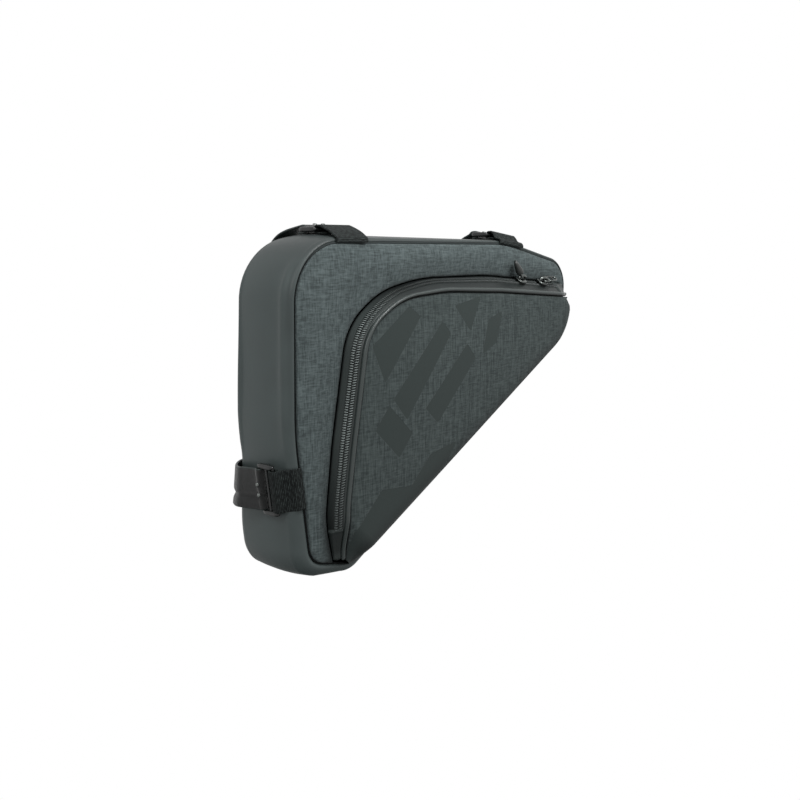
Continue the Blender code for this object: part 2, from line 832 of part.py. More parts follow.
def build_rivet(name, frame, spot, side, finish):
    """A low dome on the outside of a strap's looped end."""
    rings = []
    for radius, lift in ((1.0, 0.0), (0.8, 0.6), (0.35, 1.0)):
        ring = []
        for k in range(8):
            angle = 2 * math.pi * k / 8
            reach = RIVET_RADIUS * radius
            ring.append(frame.point(
                spot.x + reach * math.cos(angle), spot.y + lift * RIVET_HEIGHT,
                side + reach * math.sin(angle),
            ))
        rings.append(ring)
    return loft(name, rings, finish)


def build_strap(name, at, shape, finishes):
    """Webbing from the near seam, a buckle, and the coated end from the far side."""
    web_rows, tail_rows, bar_across, lift, web_fold, tail_fold = shape
    frame = StrapFrame(at)
    wrap_reach = WRAP_RADIUS + max(WEB_THICK, TAIL_THICK) / 2
    near_bar = Vector((bar_across * frame.half, frame.edge + frame.crown + lift + wrap_reach))
    far_bar = near_bar + Vector((-2 * BAR_PITCH, 0.0))
    lay = SEW_GAP + WEB_THICK / 2
    foot = [Vector((frame.half + lay, SEW_GAP))]
    bend = Vector((frame.half - frame.edge, 0.0))
    for angle in (math.radians(35), math.radians(65)):
        foot.append(bend + Vector((math.cos(angle), math.sin(angle))) * (frame.edge + lay + SEW_GAP))
    over = Vector((0.0, WRAP_RADIUS))
    ease = Vector((LEAD_RUN, -LEAD_DROP))
    lead = curve_through(foot + frame.knots(web_rows) + [near_bar + over + ease, near_bar + over])
    web = lead[:-1] + wrap(near_bar, Vector((-1.0, 0.0)), Vector((1.0, 0.0)), web_fold)
    ribbon(f"{name}_web", frame, web, WEB_THICK, finishes["webbing"])
    build_buckle(f"{name}_buckle", frame, near_bar, finishes["plastic"])
    rest = -(frame.half + SEW_GAP + TAIL_THICK / 2)
    low = frame.knots(tail_rows)[-1].y
    end = [Vector((rest, low - drop)) for drop in TAIL_SEWN]
    ease = Vector((-LEAD_RUN, -LEAD_DROP))
    trail = curve_through([far_bar + over, far_bar + over + ease] + frame.knots(tail_rows) + end)
    trail = [Vector((min(p.x, rest), p.y)) if p.y < 0 else p for p in trail]
    fold = wrap(far_bar, Vector((1.0, 0.0)), Vector((-1.0, 0.0)), tail_fold)
    tail = fold[::-1] + trail[1:]
    ribbon(f"{name}_tail", frame, tail, TAIL_THICK, finishes["strap"])
    spot = far_bar + Vector((-RIVET_INSET, WRAP_RADIUS + TAIL_THICK / 2 + SEW_GAP))
    for label, side in (("a", -RIVET_SPACING / 2), ("b", RIVET_SPACING / 2)):
        build_rivet(f"{name}_rivet_{label}", frame, spot, side, finishes["metal"])


def seam_station(along=None, down=None):
    """The seam's station at a place along the top edge, or down the end."""
    stations = rounded_path(SEAM, closed=True)
    for a, b in zip(stations[-1:] + stations, stations):
        if along is not None and a.out_up > 0.5 and a.along <= along <= b.along:
            share = (along - a.along) / (b.along - a.along)
        elif down is not None and a.out_along < -0.5 and a.up <= -down <= b.up:
            share = (-down - a.up) / (b.up - a.up)
        else:
            continue
        return Station(*(x + (y - x) * share for x, y in zip(a, b)))


def main():
    clear_scene()
    finishes = {
        "coated": material("coated_charcoal", (0.075, 0.088, 0.088), 0.45),
        "heather": material("heather_grey", (0.095, 0.112, 0.115), 0.9),
        "backing": material("plain_black", (0.02, 0.022, 0.022), 0.8),
        "tape": material("zip_tape", (0.022, 0.026, 0.026), 0.55),
        "coil": material("zip_coil", (0.035, 0.040, 0.040), 0.4),
        "webbing": material("webbing", (0.03, 0.035, 0.035), 0.75),
        "strap": material("coated_strap", (0.05, 0.058, 0.056), 0.45),
        "plastic": material("buckle_plastic", (0.03, 0.034, 0.034), 0.35),
        "metal": material("dark_nickel", (0.35, 0.36, 0.36), 0.3, 1.0),
        "pull": material("pull_rubber", (0.02, 0.022, 0.022), 0.5),
    }
    build_gusset(finishes["coated"])
    build_far_panel(finishes["backing"])
    build_side_band(finishes["heather"])
    rim = PocketRim()
    build_zip_tape(rim, finishes["tape"])
    build_zip_coil(rim, finishes["coil"])
    build_stop("zip_stop_low", rim, STOP_LENGTH, False, finishes["coated"])
    build_stop("zip_stop_tip", rim, STOP_TIP_LENGTH, True, finishes["coated"])
    build_piping(rim, finishes["coated"])
    build_front_panel(rim, finishes["heather"])
    zip_end = CREASE[-1].along * LENGTH
    for label, back, angle, yaw in (
        ("rear", REAR_SLIDER_BACK, REAR_PULL_ANGLE, REAR_PULL_YAW),
        ("front", FRONT_SLIDER_BACK, FRONT_PULL_ANGLE, FRONT_PULL_YAW),
    ):
        hinge = build_slider(f"slider_{label}", rim, zip_end - back, finishes["metal"])
        build_pull(f"pull_{label}", yawed(hinge, yaw), angle, finishes["pull"])
    rear_shape = StrapShape(TOP_WEB, REAR_TAIL, TOP_BAR_ACROSS, TOP_BUCKLE_LIFT,
                            LONG_FOLD, LONG_FOLD)
    front_shape = StrapShape(TOP_WEB, FRONT_TAIL, TOP_BAR_ACROSS, TOP_BUCKLE_LIFT,
                             LONG_FOLD, SHORT_FOLD)
    end_shape = StrapShape(END_WEB, END_TAIL, END_BAR_ACROSS, END_BUCKLE_LIFT,
                           SHORT_FOLD, LONG_FOLD)
    build_strap("strap_rear", seam_station(along=REAR_STRAP_ALONG), rear_shape, finishes)
    build_strap("strap_front", seam_station(along=FRONT_STRAP_ALONG), front_shape, finishes)
    build_strap("strap_end", seam_station(down=END_STRAP_DOWN), end_shape, finishes)


main()
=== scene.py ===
"""Looks of the triangular bicycle frame bag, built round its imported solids.

Metres, +Z up. X runs from the seat tube end to the thin tip, the zipped side faces -Y.
The outlines repeat the solids' own named sizes, with finer steps.
"""

import math
from collections import namedtuple

import bmesh
import bpy
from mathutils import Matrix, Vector


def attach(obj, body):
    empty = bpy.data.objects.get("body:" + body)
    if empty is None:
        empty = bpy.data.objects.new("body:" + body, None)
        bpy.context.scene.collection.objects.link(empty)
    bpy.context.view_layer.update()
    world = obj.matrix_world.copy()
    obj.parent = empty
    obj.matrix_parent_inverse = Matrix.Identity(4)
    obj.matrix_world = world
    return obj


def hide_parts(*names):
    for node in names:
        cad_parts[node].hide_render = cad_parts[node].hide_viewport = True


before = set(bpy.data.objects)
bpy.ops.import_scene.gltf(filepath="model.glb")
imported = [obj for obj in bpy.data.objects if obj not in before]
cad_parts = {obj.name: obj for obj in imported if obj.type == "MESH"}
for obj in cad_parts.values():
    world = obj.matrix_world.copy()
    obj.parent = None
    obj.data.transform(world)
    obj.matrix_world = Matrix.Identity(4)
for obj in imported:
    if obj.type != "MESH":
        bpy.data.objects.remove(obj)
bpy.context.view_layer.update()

# Body, as in the solids
LENGTH = 0.310
HEIGHT = 0.222
THICK_END = 0.057
THICK_TIP = 0.022
SEW_GAP = 0.0003
ORIGIN_ALONG = 0.142
BAND_CROWN = 0.0028
BAND_FULL_SPAN = 0.025
CREASE_DEPTH = 0.0008
POCKET_RISE = 0.014
POCKET_BULGE = 0.0028
SHOULDER = 0.012
SHOULDER_FOOT = 0.0017
PIPING_RADIUS = 0.0017
TAPE_BOW = 0.0006
SLANT_LIMIT = 0.35
FADE_FOOT = 0.032
FADE_TIP = 0.016
FADE_SHARE = 0.5
SWELL_FROM = 0.12
SWELL_OVER = 0.76
SWELL_EASE = 0.3
FAR_STEPS = 14
BAND_STEPS = 26
PANEL_STEPS = 64
ROLL_SHARE = 0.03

# Zip
COIL_WIDTH = 0.0064
COIL_THICK = 0.0012
STOP_LENGTH = 0.0225
STOP_TIP_LENGTH = 0.014
STOP_THICK = 0.0011
STOP_INSET = 0.0006
STOP_STEPS = 22
TAPE_STEPS = 24
TOOTH_PITCH = 0.00172
TOOTH_HALF = 0.00052
TOOTH_LEAN = 0.0004
SLIDER_LENGTH = 0.0105
SLIDER_WIDTH = 0.0088
SLIDER_TOP = 0.0016
PLATE_CROWN = 0.00032
PLATE_UNDER = 0.0005
BRIDGE_SPAN = 0.0084
BRIDGE_RISE = 0.0034
BRIDGE_RADIUS = 0.0012
PIN_HEIGHT = 0.0013
PULL_WIDTH = 0.0074
PULL_LENGTH = 0.0165
PULL_ARM = 0.0011
PULL_WINDOW = 0.0062
GRIP_DEPTH = 0.0028
GRIP_START = 0.72
REAR_SLIDER_BACK = 0.0648
FRONT_SLIDER_BACK = 0.0353
REAR_PULL_ANGLE = 142.0
REAR_PULL_YAW = -32.0
FRONT_PULL_ANGLE = 8.0
FRONT_PULL_YAW = 0.0
COIL_SIDE_PLACE = 0.66
COIL_TOP_PLACE = 0.36
SWERVE_FROM = 0.36
SWERVE_OVER = 0.24

# Straps
STRAP_WIDTH = 0.029
WEB_THICK = 0.0014
TAIL_THICK = 0.0016
TAIL_SEWN = (0.007, 0.011, 0.015)
BAR_WIDE = 0.0022
BAR_THICK = 0.0018
BAR_PITCH = 0.007
BUCKLE_RIM = 0.0028
BUCKLE_THICK = 0.0030
CAP_WIDE = 0.62
CAP_TALL = 0.6
CAP_STEPS = 16
WRAP_RADIUS = 0.0025
LONG_FOLD = 0.0050
SHORT_FOLD = 0.0022
LEAD_RUN = 0.0032
LEAD_DROP = 0.0003
RIVET_RADIUS = 0.0016
RIVET_SPACING = 0.0075
RIVET_INSET = -0.0002
RIVET_RISE = 0.0007
REAR_STRAP_ALONG = 0.0520
FRONT_STRAP_ALONG = 0.2325
END_STRAP_DOWN = 0.1610
TAPER_START = 0.7
LOOP_TWIST = 60.0
TOP_BUCKLE_LIFT = 0.0001
END_BUCKLE_LIFT = 0.0018

# Sewn edges: each cloth edge rolls over a small radius and dives into the seam
ROLL = 0.0009
WELT_ROLL = 0.0024
WELT_RISE = 0.0016
WELT_REACH = 0.0095
WELT_WIDTH = 0.0036
SEAM_HALF = 0.0007
SEAM_DEPTH = 0.0026
SEAM_SHADOW_WIDE = 0.0009
SEAM_SHADOW_DEEP = 0.0007

# Extra fullness of the gusset's foot, across on the far side and outwards
FOOT_SWELL = 0.0085
FOOT_SAG = 0.0030

# Steps of the fine outlines, of an edge's quarter turn and of the gusset's crown
ARC = 16
RUN = 26
EDGE_STEPS = 14
CROWN_STEPS = 40

# Cloth: metres, but for the webbing, which is measured in the UV map's units
UV_SCALE = 100
WEAVE_PITCH = 0.00085
RIB_PITCH = 0.118
THREAD_PITCH = 0.085
HEATHER_ROUGH = 0.86
PRINT_ROUGH = 0.62

# Camera, solved from the photo
PICTURE_PIXELS = 800
FOCAL_PIXELS = 1164.0
SENSOR_WIDTH = 36.0
CAMERA_SPOT = (-0.629, -0.604, -0.004)
CAMERA_HEADING = 45.37
CAMERA_PITCH = 7.73

# A corner of an outline: along and down as shares of the length and height, radius of the height,
# edge and crown of the thick end
Corner = namedtuple("Corner", "name along down radius edge crown", defaults=(0.0, 0.0, 0.0))
SEAM = [
    Corner("end_bend", 0.000, 0.577, 0.900, 0.123, 0.026),
    Corner("end_top", 0.001, 0.000, 0.180, 0.065, 0.034),
    Corner("top_bend", 0.734, 0.006, 0.720, 0.046, 0.010),
    Corner("tip_top", 1.003, 0.088, 0.099, 0.044, 0.008),
    Corner("tip_low", 0.984, 0.348, 0.192, 0.052, 0.008),
    Corner("foot", 0.161, 0.999, 0.072, 0.088, 0.018),
    Corner("foot_end", 0.040, 0.964, 0.063, 0.152, 0.018),
]
BAND_START = Corner("band_start", 0.098, 0.9805)
BAND_STOP = Corner("band_stop", 0.9977, 0.158)
POCKET_START = Corner("pocket_start", 0.142, 0.994)
POCKET_STOP = Corner("pocket_stop", 0.9934, 0.215)
CREASE = [
    Corner("foot", 0.108, 0.975),
    Corner("low", 0.087, 0.842, 0.27),
    Corner("side", 0.108, 0.613, 0.90),
    Corner("shoulder", 0.155, 0.258, 0.20),
    Corner("rise", 0.261, 0.155, 0.38),
    Corner("top", 0.400, 0.1175, 0.90),
    Corner("top_bend", 0.653, 0.116, 1.35),
    Corner("tip", 0.985, 0.154),
]
PIPING = [
    Corner("foot", 0.116, 0.962),
    Corner("low", 0.107, 0.811, 0.45),
    Corner("side", 0.129, 0.617, 1.35),
    Corner("shoulder", 0.1745, 0.260, 0.17),
    Corner("rise", 0.287, 0.169, 0.33),
    Corner("top", 0.440, 0.152, 0.80),
    Corner("top_bend", 0.653, 0.163, 1.35),
    Corner("tip", 0.972, 0.194),
]

# A point of a strap's line, as shares of the bag's half thickness there
Knot = namedtuple("Knot", "across out")
TOP_WEB = [Knot(0.74, 0.305)]
REAR_TAIL = [
    Knot(-0.92, 0.33), Knot(-1.32, 0.19), Knot(-1.62, -0.05), Knot(-1.62, -0.26),
    Knot(-1.38, -0.40),
]
FRONT_TAIL = [
    Knot(-1.00, 0.43), Knot(-1.34, 0.27), Knot(-1.62, 0.07), Knot(-1.74, -0.20),
    Knot(-1.56, -0.44),
]
TOP_BAR_ACROSS = 0.27
END_WEB = [Knot(0.77, 0.390)]
END_TAIL = [
    Knot(-0.38, 0.65), Knot(-0.60, 0.68), Knot(-0.85, 0.56), Knot(-1.10, 0.34),
    Knot(-1.27, 0.10), Knot(-1.29, -0.12),
]
END_BAR_ACROSS = 0.59

StrapShape = namedtuple("StrapShape", "web tail bar_across lift web_fold tail_fold")
Fold = namedtuple("Fold", "side height width start stop")
Station = namedtuple("Station", "along up out_along out_up edge crown")


def half_thickness(along):
    return (THICK_END + (THICK_TIP - THICK_END) * along / LENGTH) / 2


def top_crest(along):
    first, last = SEAM[1], SEAM[2]
    share = (along / LENGTH - first.along) / (last.along - first.along)
    start = first.edge + first.crown
    return THICK_END * (start + (last.edge + last.crown - start) * share)


ORIGIN_UP = top_crest(ORIGIN_ALONG)


def place(along, up, across):
    return Vector((along - ORIGIN_ALONG, -across, up - ORIGIN_UP))


def raised(along, up, rise):
    return place(along, up, half_thickness(along) + rise)


def smooth_step(value):
    value = min(max(value, 0.0), 1.0)
    return value * value * (3 - 2 * value)


def station(point, normal, edge, crown, offset):
    moved = point + normal * offset
    return Station(moved.x, moved.y, normal.x, normal.y, edge * THICK_END, crown * THICK_END)


def turned(vector, angle):
    cos, sin = math.cos(angle), math.sin(angle)
    return Vector((vector.x * cos - vector.y * sin, vector.x * sin + vector.y * cos))


def rounded_path(corners, closed=False, offset=0.0):
    """Stations along a polygon with rounded corners; offset moves them outwards."""
    points = [Vector((c.along * LENGTH, -c.down * HEIGHT)) for c in corners]
    count = len(points)
    arcs = []
    for i, corner in enumerate(corners):
        point = points[i]
        if not closed and i in (0, count - 1):
            way = (points[1] - point) if i == 0 else (point - points[count - 2])
            way.normalize()
            arcs.append([(point, Vector((-way.y, way.x)), corner)])
            continue
        before = (point - points[i - 1]).normalized()
        after = (points[(i + 1) % count] - point).normalized()
        turn = math.atan2(before.x * after.y - before.y * after.x, before.dot(after))
        radius = corner.radius * HEIGHT
        start = point - before * radius * math.tan(abs(turn) / 2)
        normal = Vector((-before.y, before.x))
        centre = start + normal * math.copysign(radius, turn)
        arcs.append([
            (centre + turned(start - centre, turn * k / ARC), turned(normal, turn * k / ARC), corner)
            for k in range(ARC + 1)
        ])
    stations = []
    for i, arc in enumerate(arcs):
        stations.extend(station(p, n, c.edge, c.crown, offset) for p, n, c in arc)
        if not closed and i == count - 1:
            break
        start_point, normal, start = arc[-1]
        stop_point, _, stop = arcs[(i + 1) % count][0]
        for k in range(1, RUN):
            share = k / RUN
            edge = start.edge + (stop.edge - start.edge) * share
            crown = start.crown + (stop.crown - start.crown) * share
            stations.append(station(start_point.lerp(stop_point, share), normal, edge, crown, offset))
    return stations


def plan(stations):
    return [Vector((s.along, s.up)) for s in stations]


def path_lengths(points):
    lengths = [0.0]
    for a, b in zip(points, points[1:]):
        lengths.append(lengths[-1] + (b - a).length)
    return lengths


def resampled(points, shares):
    """Points at given shares of a path's length."""
    lengths = path_lengths(points)
    made = []
    k = 0
    for share in shares:
        goal = share * lengths[-1]
        while k < len(points) - 2 and lengths[k + 1] < goal:
            k += 1
        part = (goal - lengths[k]) / (lengths[k + 1] - lengths[k])
        made.append(points[k].lerp(points[k + 1], part))
    return made


def matched(path, base):
    """Points of one path that pair with the points of another, split at their upper corner."""
    upper = 3 * (RUN + ARC) - ARC // 2
    ours, theirs = path_lengths(path), path_lengths(base)
    our_split = ours[upper] / ours[-1]
    their_split = theirs[upper] / theirs[-1]
    shares = []
    for length in theirs:
        share = length / theirs[-1]
        if share <= their_split:
            shares.append(share * our_split / their_split)
        else:
            shares.append(1 - (1 - share) * (1 - our_split) / (1 - their_split))
    return resampled(path, shares)


def seam_corners(*names):
    rows = {c.name: c for c in SEAM}
    return [rows[n] for n in names]


def ramp(value, start, span):
    """0 up to start, 1 from start + span on, and a smooth curve between."""
    return smooth_step((value - start) / span)


def fall(value, stop, span):
    """1 up to stop - span, 0 from stop on, and a smooth curve between."""
    return smooth_step((stop - value) / span)


def bell(value, middle, width):
    return math.exp(-((value - middle) / width) ** 2)


def around(count, extra=0):
    """Cosine and sine of each step round a ring; one extra step ends where it starts."""
    turns = [2 * math.pi * k / count for k in range(count + extra)]
    return [(math.cos(t), math.sin(t)) for t in turns]


def squared(value, power):
    """A sine or cosine pushed outwards, which makes its ring squarer."""
    return math.copysign(abs(value) ** power, value)


def at_seam(s, out, across):
    """A point at a distance outwards from a seam station."""
    return place(s.along + s.out_along * out, s.up + s.out_up * out, across)


# Pieces

def link_piece(name, mesh, finish, body="bag", replaces=None):
    """A mesh as a smooth piece, with its finish, body and the node that it replaces."""
    mesh.shade_smooth()
    mesh.materials.append(finish)
    piece = bpy.data.objects.new(name, mesh)
    bpy.context.collection.objects.link(piece)
    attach(piece, body)
    if replaces:
        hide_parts(replaces)
    return piece


def mark(mesh, flag, values):
    """An extra value at each point, which a finish reads by its name."""
    mesh.attributes.new(flag, "FLOAT", "POINT").data.foreach_set("value", values)


def skin(name, rows, finish, body="bag", close_rows=False, close_ring=False, replaces=None,
         flags=None):
    """A quad surface over rows of points, with lengths along and across as its UV map.

    flags gives extra values at each point, as {attribute name: rows of numbers}.
    """
    height, width = len(rows), len(rows[0])
    middle = width // 2
    faces = []
    places = []
    for i in range(height if close_rows else height - 1):
        for j in range(width if close_ring else width - 1):
            corners = [(i, j), (i, j + 1), (i + 1, j + 1), (i + 1, j)]
            faces.append([(r % height) * width + c % width for r, c in corners])
            places.extend(corners)
    alongs = path_lengths([row[middle] for row in rows])
    alongs.append(alongs[-1] + (rows[0][middle] - rows[-1][middle]).length)
    across = []
    for row in rows:
        ring = path_lengths(row + row[:1])
        across.append([length - ring[middle] for length in ring])
    values = []
    for r, c in places:
        values.extend((alongs[r] * UV_SCALE, across[r % height][c] * UV_SCALE))
    mesh = bpy.data.meshes.new(name)
    mesh.from_pydata([tuple(p) for row in rows for p in row], [], faces)
    mesh.uv_layers.new(name="lengths").data.foreach_set("uv", values)
    for flag, grid in (flags or {}).items():
        mark(mesh, flag, [value for row in grid for value in row])
    return link_piece(name, mesh, finish, body, replaces)


# Node materials

FINE = (1000.0, 1000.0, 1000.0)
# Near black that painted shade mixes a finish towards, wherever its shade flag is set
PAINTED_SHADE_COLOUR = (0.004, 0.005, 0.005)


def share_of(colour, share):
    return tuple(c * share for c in colour)


class Nodes:
    """Short calls that add nodes to a tree."""

    def __init__(self, tree):
        self.tree = tree

    def plug(self, socket, value):
        """Links a node's output to a socket, or sets a plain value or colour on it."""
        if isinstance(value, bpy.types.NodeSocket):
            self.tree.links.new(value, socket)
        else:
            socket.default_value = (*value, 1.0) if socket.type == "RGBA" else value

    def add(self, kind, inputs, output=0, **settings):
        made = self.tree.nodes.new("ShaderNode" + kind)
        for key, value in settings.items():
            setattr(made, key, value)
        for key, value in inputs.items():
            self.plug(made.inputs[key], value)
        return made.outputs[output]

    def math(self, operation, a, b=0.0):
        return self.add("Math", {0: a, 1: b}, operation=operation)

    def plus(self, a, b):
        return self.math("ADD", a, b)

    def times(self, a, b):
        return self.math("MULTIPLY", a, b)

    def span(self, value, low, high, start=0.0, stop=1.0, **settings):
        return self.add("MapRange", {"Value": value, "From Min": low, "From Max": high,
                                     "To Min": start, "To Max": stop}, **settings)


class Shader(Nodes):
    """A Principled material."""

    def __init__(self, name, roughness=0.5, metallic=0.0, specular=0.5):
        self.material = bpy.data.materials.new(name)
        self.material.use_nodes = True
        super().__init__(self.material.node_tree)
        self.shader = self.tree.nodes["Principled BSDF"]
        self.set("Roughness", roughness)
        self.set("Metallic", metallic)
        self.set("Specular IOR Level", specular)
        self.coordinates = self.tree.nodes.new("ShaderNodeTexCoord").outputs

    def set(self, name, value):
        self.plug(self.shader.inputs[name], value)

    def axis(self, source, number):
        return self.add("SeparateXYZ", {0: self.coordinates[source]}, number)

    def noise(self, source, scales, scale=1.0, detail=2.0, roughness=0.5):
        spot = self.add("Mapping", {"Vector": self.coordinates[source], "Scale": scales})
        return self.add("TexNoise", {"Vector": spot, "Scale": scale, "Detail": detail,
                                     "Roughness": roughness})

    def mix(self, share, a, b, **settings):
        return self.add("Mix", {0: share, 6: a, 7: b}, 2, data_type="RGBA", **settings)

    def mottled(self, noise, colour, low, high):
        """A colour that wavers between two shares of itself."""
        return self.mix(self.span(noise, 0.3, 0.7), share_of(colour, low), share_of(colour, high))

    def wave(self, length, pitch):
        return self.math("SINE", self.times(length, 2 * math.pi / pitch))

    def flag(self, name):
        return self.add("Attribute", {}, 2, attribute_name=name)

    def bump(self, height, distance, strength=1.0):
        self.set("Normal", self.add("Bump", {"Height": height, "Distance": distance,
                                             "Strength": strength}))


def coated_finish(name, colour, roughness, specular=0.3):
    """Smooth coated cloth with a very fine grain and faint mottling, mixed towards near black by painted
    shade where its shade flag is set.
    """
    made = Shader(name, roughness, 0.0, specular)
    grain = made.noise("Object", FINE, 1.9, 3.0)
    patches = made.noise("Object", FINE, 0.045, 3.0)
    tone = made.span(made.plus(made.times(grain, 0.35), patches), 0.35, 0.95)
    lit = made.mix(tone, share_of(colour, 0.90), share_of(colour, 1.12))
    # Painted shade: the shade flag mixes the cloth towards near black
    made.set("Base Color", made.mix(made.flag("shade"), lit, PAINTED_SHADE_COLOUR))
    made.set("Roughness", made.span(patches, 0.3, 0.7, roughness - 0.05, roughness + 0.06))
    made.bump(grain, 0.00006)
    return made.material


def heather_tone(made, across_slubs, upright_slubs):
    """Share of light yarn in a plain weave whose threads run along X and Z."""
    flat = made.noise("Object", (120.0, 900.0, 950.0), roughness=0.6)
    upright = made.noise("Object", (950.0, 900.0, 120.0), roughness=0.6)
    flat_slub = made.noise("Object", (40.0, 300.0, 620.0), roughness=0.55)
    upright_slub = made.noise("Object", (620.0, 300.0, 40.0), roughness=0.55)
    fine = made.plus(made.times(flat, 0.5), made.times(upright, 0.5))
    slubs = made.plus(made.times(flat_slub, across_slubs), made.times(upright_slub, upright_slubs))
    return made.plus(fine, slubs)


def heather_finish(name, dark, light, across_slubs, upright_slubs, printed=None):
    """Woven cloth of dark and light yarns, with a print where its depth flag is positive and painted shade
    where its shade flag is set.
    """
    made = Shader(name, HEATHER_ROUGH, 0.0, 0.14)
    made.set("Sheen Weight", 0.04)
    made.set("Sheen Roughness", 0.45)
    tone = heather_tone(made, across_slubs, upright_slubs)
    weave = made.span(made.times(made.wave(made.axis("Object", 0), WEAVE_PITCH),
                                 made.wave(made.axis("Object", 2), WEAVE_PITCH)), -1.0, 1.0)
    middle = 0.5 * (1 + across_slubs + upright_slubs)
    share = made.span(tone, middle - 0.13, middle + 0.15)
    share = made.plus(share, made.times(made.math("SUBTRACT", weave, 0.5), 0.20))
    colour = made.mix(share, dark, light)
    height = made.plus(made.times(weave, 0.6), made.times(tone, 0.8))
    if printed:
        ink = made.span(made.flag("print_depth"), -0.10, 0.12)
        dusty = made.noise("Object", (900.0, 900.0, 900.0))
        colour = made.mix(ink, colour, made.mottled(dusty, printed, 0.95, 1.06))
        made.set("Roughness", made.span(ink, 0.0, 1.0, HEATHER_ROUGH, PRINT_ROUGH))
        height = made.times(height, made.span(ink, 0.0, 1.0, 1.0, 0.25))
    # Painted shade: the shade flag darkens the weave down to an eighth of its colour
    depth = made.span(made.flag("shade"), 0.0, 1.0, 1.0, 0.12)
    made.set("Base Color", made.mix(1.0, colour, depth, blend_type="MULTIPLY"))
    made.bump(height, 0.00022, 0.9)
    return made.material


def tape_finish(name, colour, roughness):
    """Satin zip tape, mixed towards near black by painted shade where its shade flag is set."""
    made = Shader(name, roughness, 0.0, 0.16)
    grain = made.noise("Object", FINE, 2.4, 2.0)
    lit = made.mottled(grain, colour, 0.92, 1.08)
    # Painted shade: the shade flag mixes the tape towards near black
    made.set("Base Color", made.mix(made.flag("shade"), lit, PAINTED_SHADE_COLOUR))
    made.bump(grain, 0.00005)
    return made.material


def webbing_finish(name, dark, light):
    """Webbing with ribs across it, broken into short dashes by the lengthwise threads."""
    made = Shader(name, 0.8, 0.0, 0.15)
    wander = made.noise("UV", (3.0, 4.0, 1.0), detail=1.0)
    rib = made.wave(made.plus(made.axis("UV", 0), made.times(wander, 0.035)), RIB_PITCH)
    thread = made.wave(made.axis("UV", 1), THREAD_PITCH)
    dashes = made.noise("UV", (9.0, 3.4, 1.0), roughness=0.6)
    height = made.span(rib, -1.0, 1.0)
    share = made.times(made.math("POWER", height, 3.0), made.span(dashes, 0.38, 0.68))
    share = made.plus(share, made.times(thread, 0.05))
    made.set("Base Color", made.mix(share, dark, light))
    made.bump(made.plus(height, made.times(thread, 0.25)), 0.0003, 0.8)
    return made.material


def fleece_finish(name, dark, light):
    """Hook and loop pile."""
    made = Shader(name, 0.95, 0.0, 0.2)
    made.set("Sheen Weight", 0.25)
    pile = made.noise("Object", FINE, 1.1, 4.0, 0.7)
    made.set("Base Color", made.mix(made.span(pile, 0.3, 0.7), dark, light))
    made.bump(pile, 0.0005)
    return made.material


def moulded_finish(name, colour, roughness, metallic=0.0, specular=0.5):
    """Plastic or metal, a little worn in patches."""
    made = Shader(name, roughness, metallic, specular)
    worn = made.noise("Object", FINE, 0.7, 3.0)
    made.set("Base Color", made.mottled(worn, colour, 0.88, 1.1))
    made.set("Roughness", made.span(worn, 0.3, 0.7, roughness * 0.85, roughness * 1.2))
    made.bump(made.noise("Object", FINE, 3.0, 2.0), 0.00003)
    return made.material


FINISH = {
    "coated": coated_finish("coated_cloth", (0.0375, 0.0475, 0.047), 0.47, 0.22),
    "band": heather_finish("heather_band", (0.025, 0.0325, 0.033), (0.066, 0.083, 0.084), 0.20, 0.14),
    "front": heather_finish("heather_front", (0.0155, 0.021, 0.021), (0.042, 0.053, 0.052), 0.04, 0.36,
                            (0.016, 0.022, 0.021)),
    "back": heather_finish("plain_back", (0.012, 0.014, 0.014), (0.032, 0.036, 0.036), 0.2, 0.2),
    # The dark grey strip in the side seams, standing for the seam groove's shadow and taken to near black
    # by painted shade
    "seam_shadow": coated_finish("painted_seam_shadow", (0.022, 0.027, 0.027), 0.8, 0.1),
    "tape": tape_finish("zip_tape_cloth", (0.028, 0.034, 0.033), 0.40),
    "teeth": tape_finish("zip_teeth", (0.125, 0.143, 0.140), 0.36),
    "piping": coated_finish("piping_cover", (0.024, 0.030, 0.029), 0.34, 0.3),
    "webbing": webbing_finish("ribbed_webbing", (0.002, 0.003, 0.003), (0.044, 0.055, 0.053)),
    "strap": coated_finish("coated_strap", (0.013, 0.019, 0.018), 0.40, 0.26),
    "fleece": fleece_finish("loop_pile", (0.003, 0.003, 0.003), (0.016, 0.017, 0.017)),
    "plastic": moulded_finish("buckle_moulding", (0.006, 0.007, 0.007), 0.28, 0.0, 0.4),
    "stud": moulded_finish("stud_metal", (0.13, 0.14, 0.135), 0.2, 0.9),
    "nickel": moulded_finish("nickel_plate", (0.11, 0.12, 0.115), 0.14, 1.0),
    "rubber": moulded_finish("pull_rubber", (0.014, 0.016, 0.015), 0.42),
}


# Sewn skins

def rolled_in(distance, roll=ROLL):
    """How far a cloth edge has sunk at a distance from its seam's middle."""
    if distance >= SEAM_HALF + roll:
        return 0.0
    reach = (SEAM_HALF + roll - max(distance, SEAM_HALF)) / roll
    return roll * (1 - math.sqrt(max(0.0, 1 - reach * reach)))


def roll_steps(steps=5, roll=ROLL):
    """Distances from a seam's middle that follow the rolled edge evenly."""
    return [SEAM_HALF + roll * (1 - math.cos(math.pi / 2 * k / steps)) for k in range(1, steps + 1)]


def foot_share(s):
    """How much of the foot's extra fullness a seam station has."""
    if s.out_along < -0.3:
        return ramp(-s.up / HEIGHT, 0.62, 0.28)
    if s.out_up < 0:
        return 1 - ramp(s.along / LENGTH, 0.10, 0.22)
    return 0.0


def far_half(s):
    """Half thickness on the far side, where the foot is fuller."""
    return half_thickness(s.along) + FOOT_SWELL * foot_share(s)


def top_run(s):
    """1 along the top of the bag, 0 down its ends and its underside."""
    return ramp(s.out_up, 0.6, 0.35)


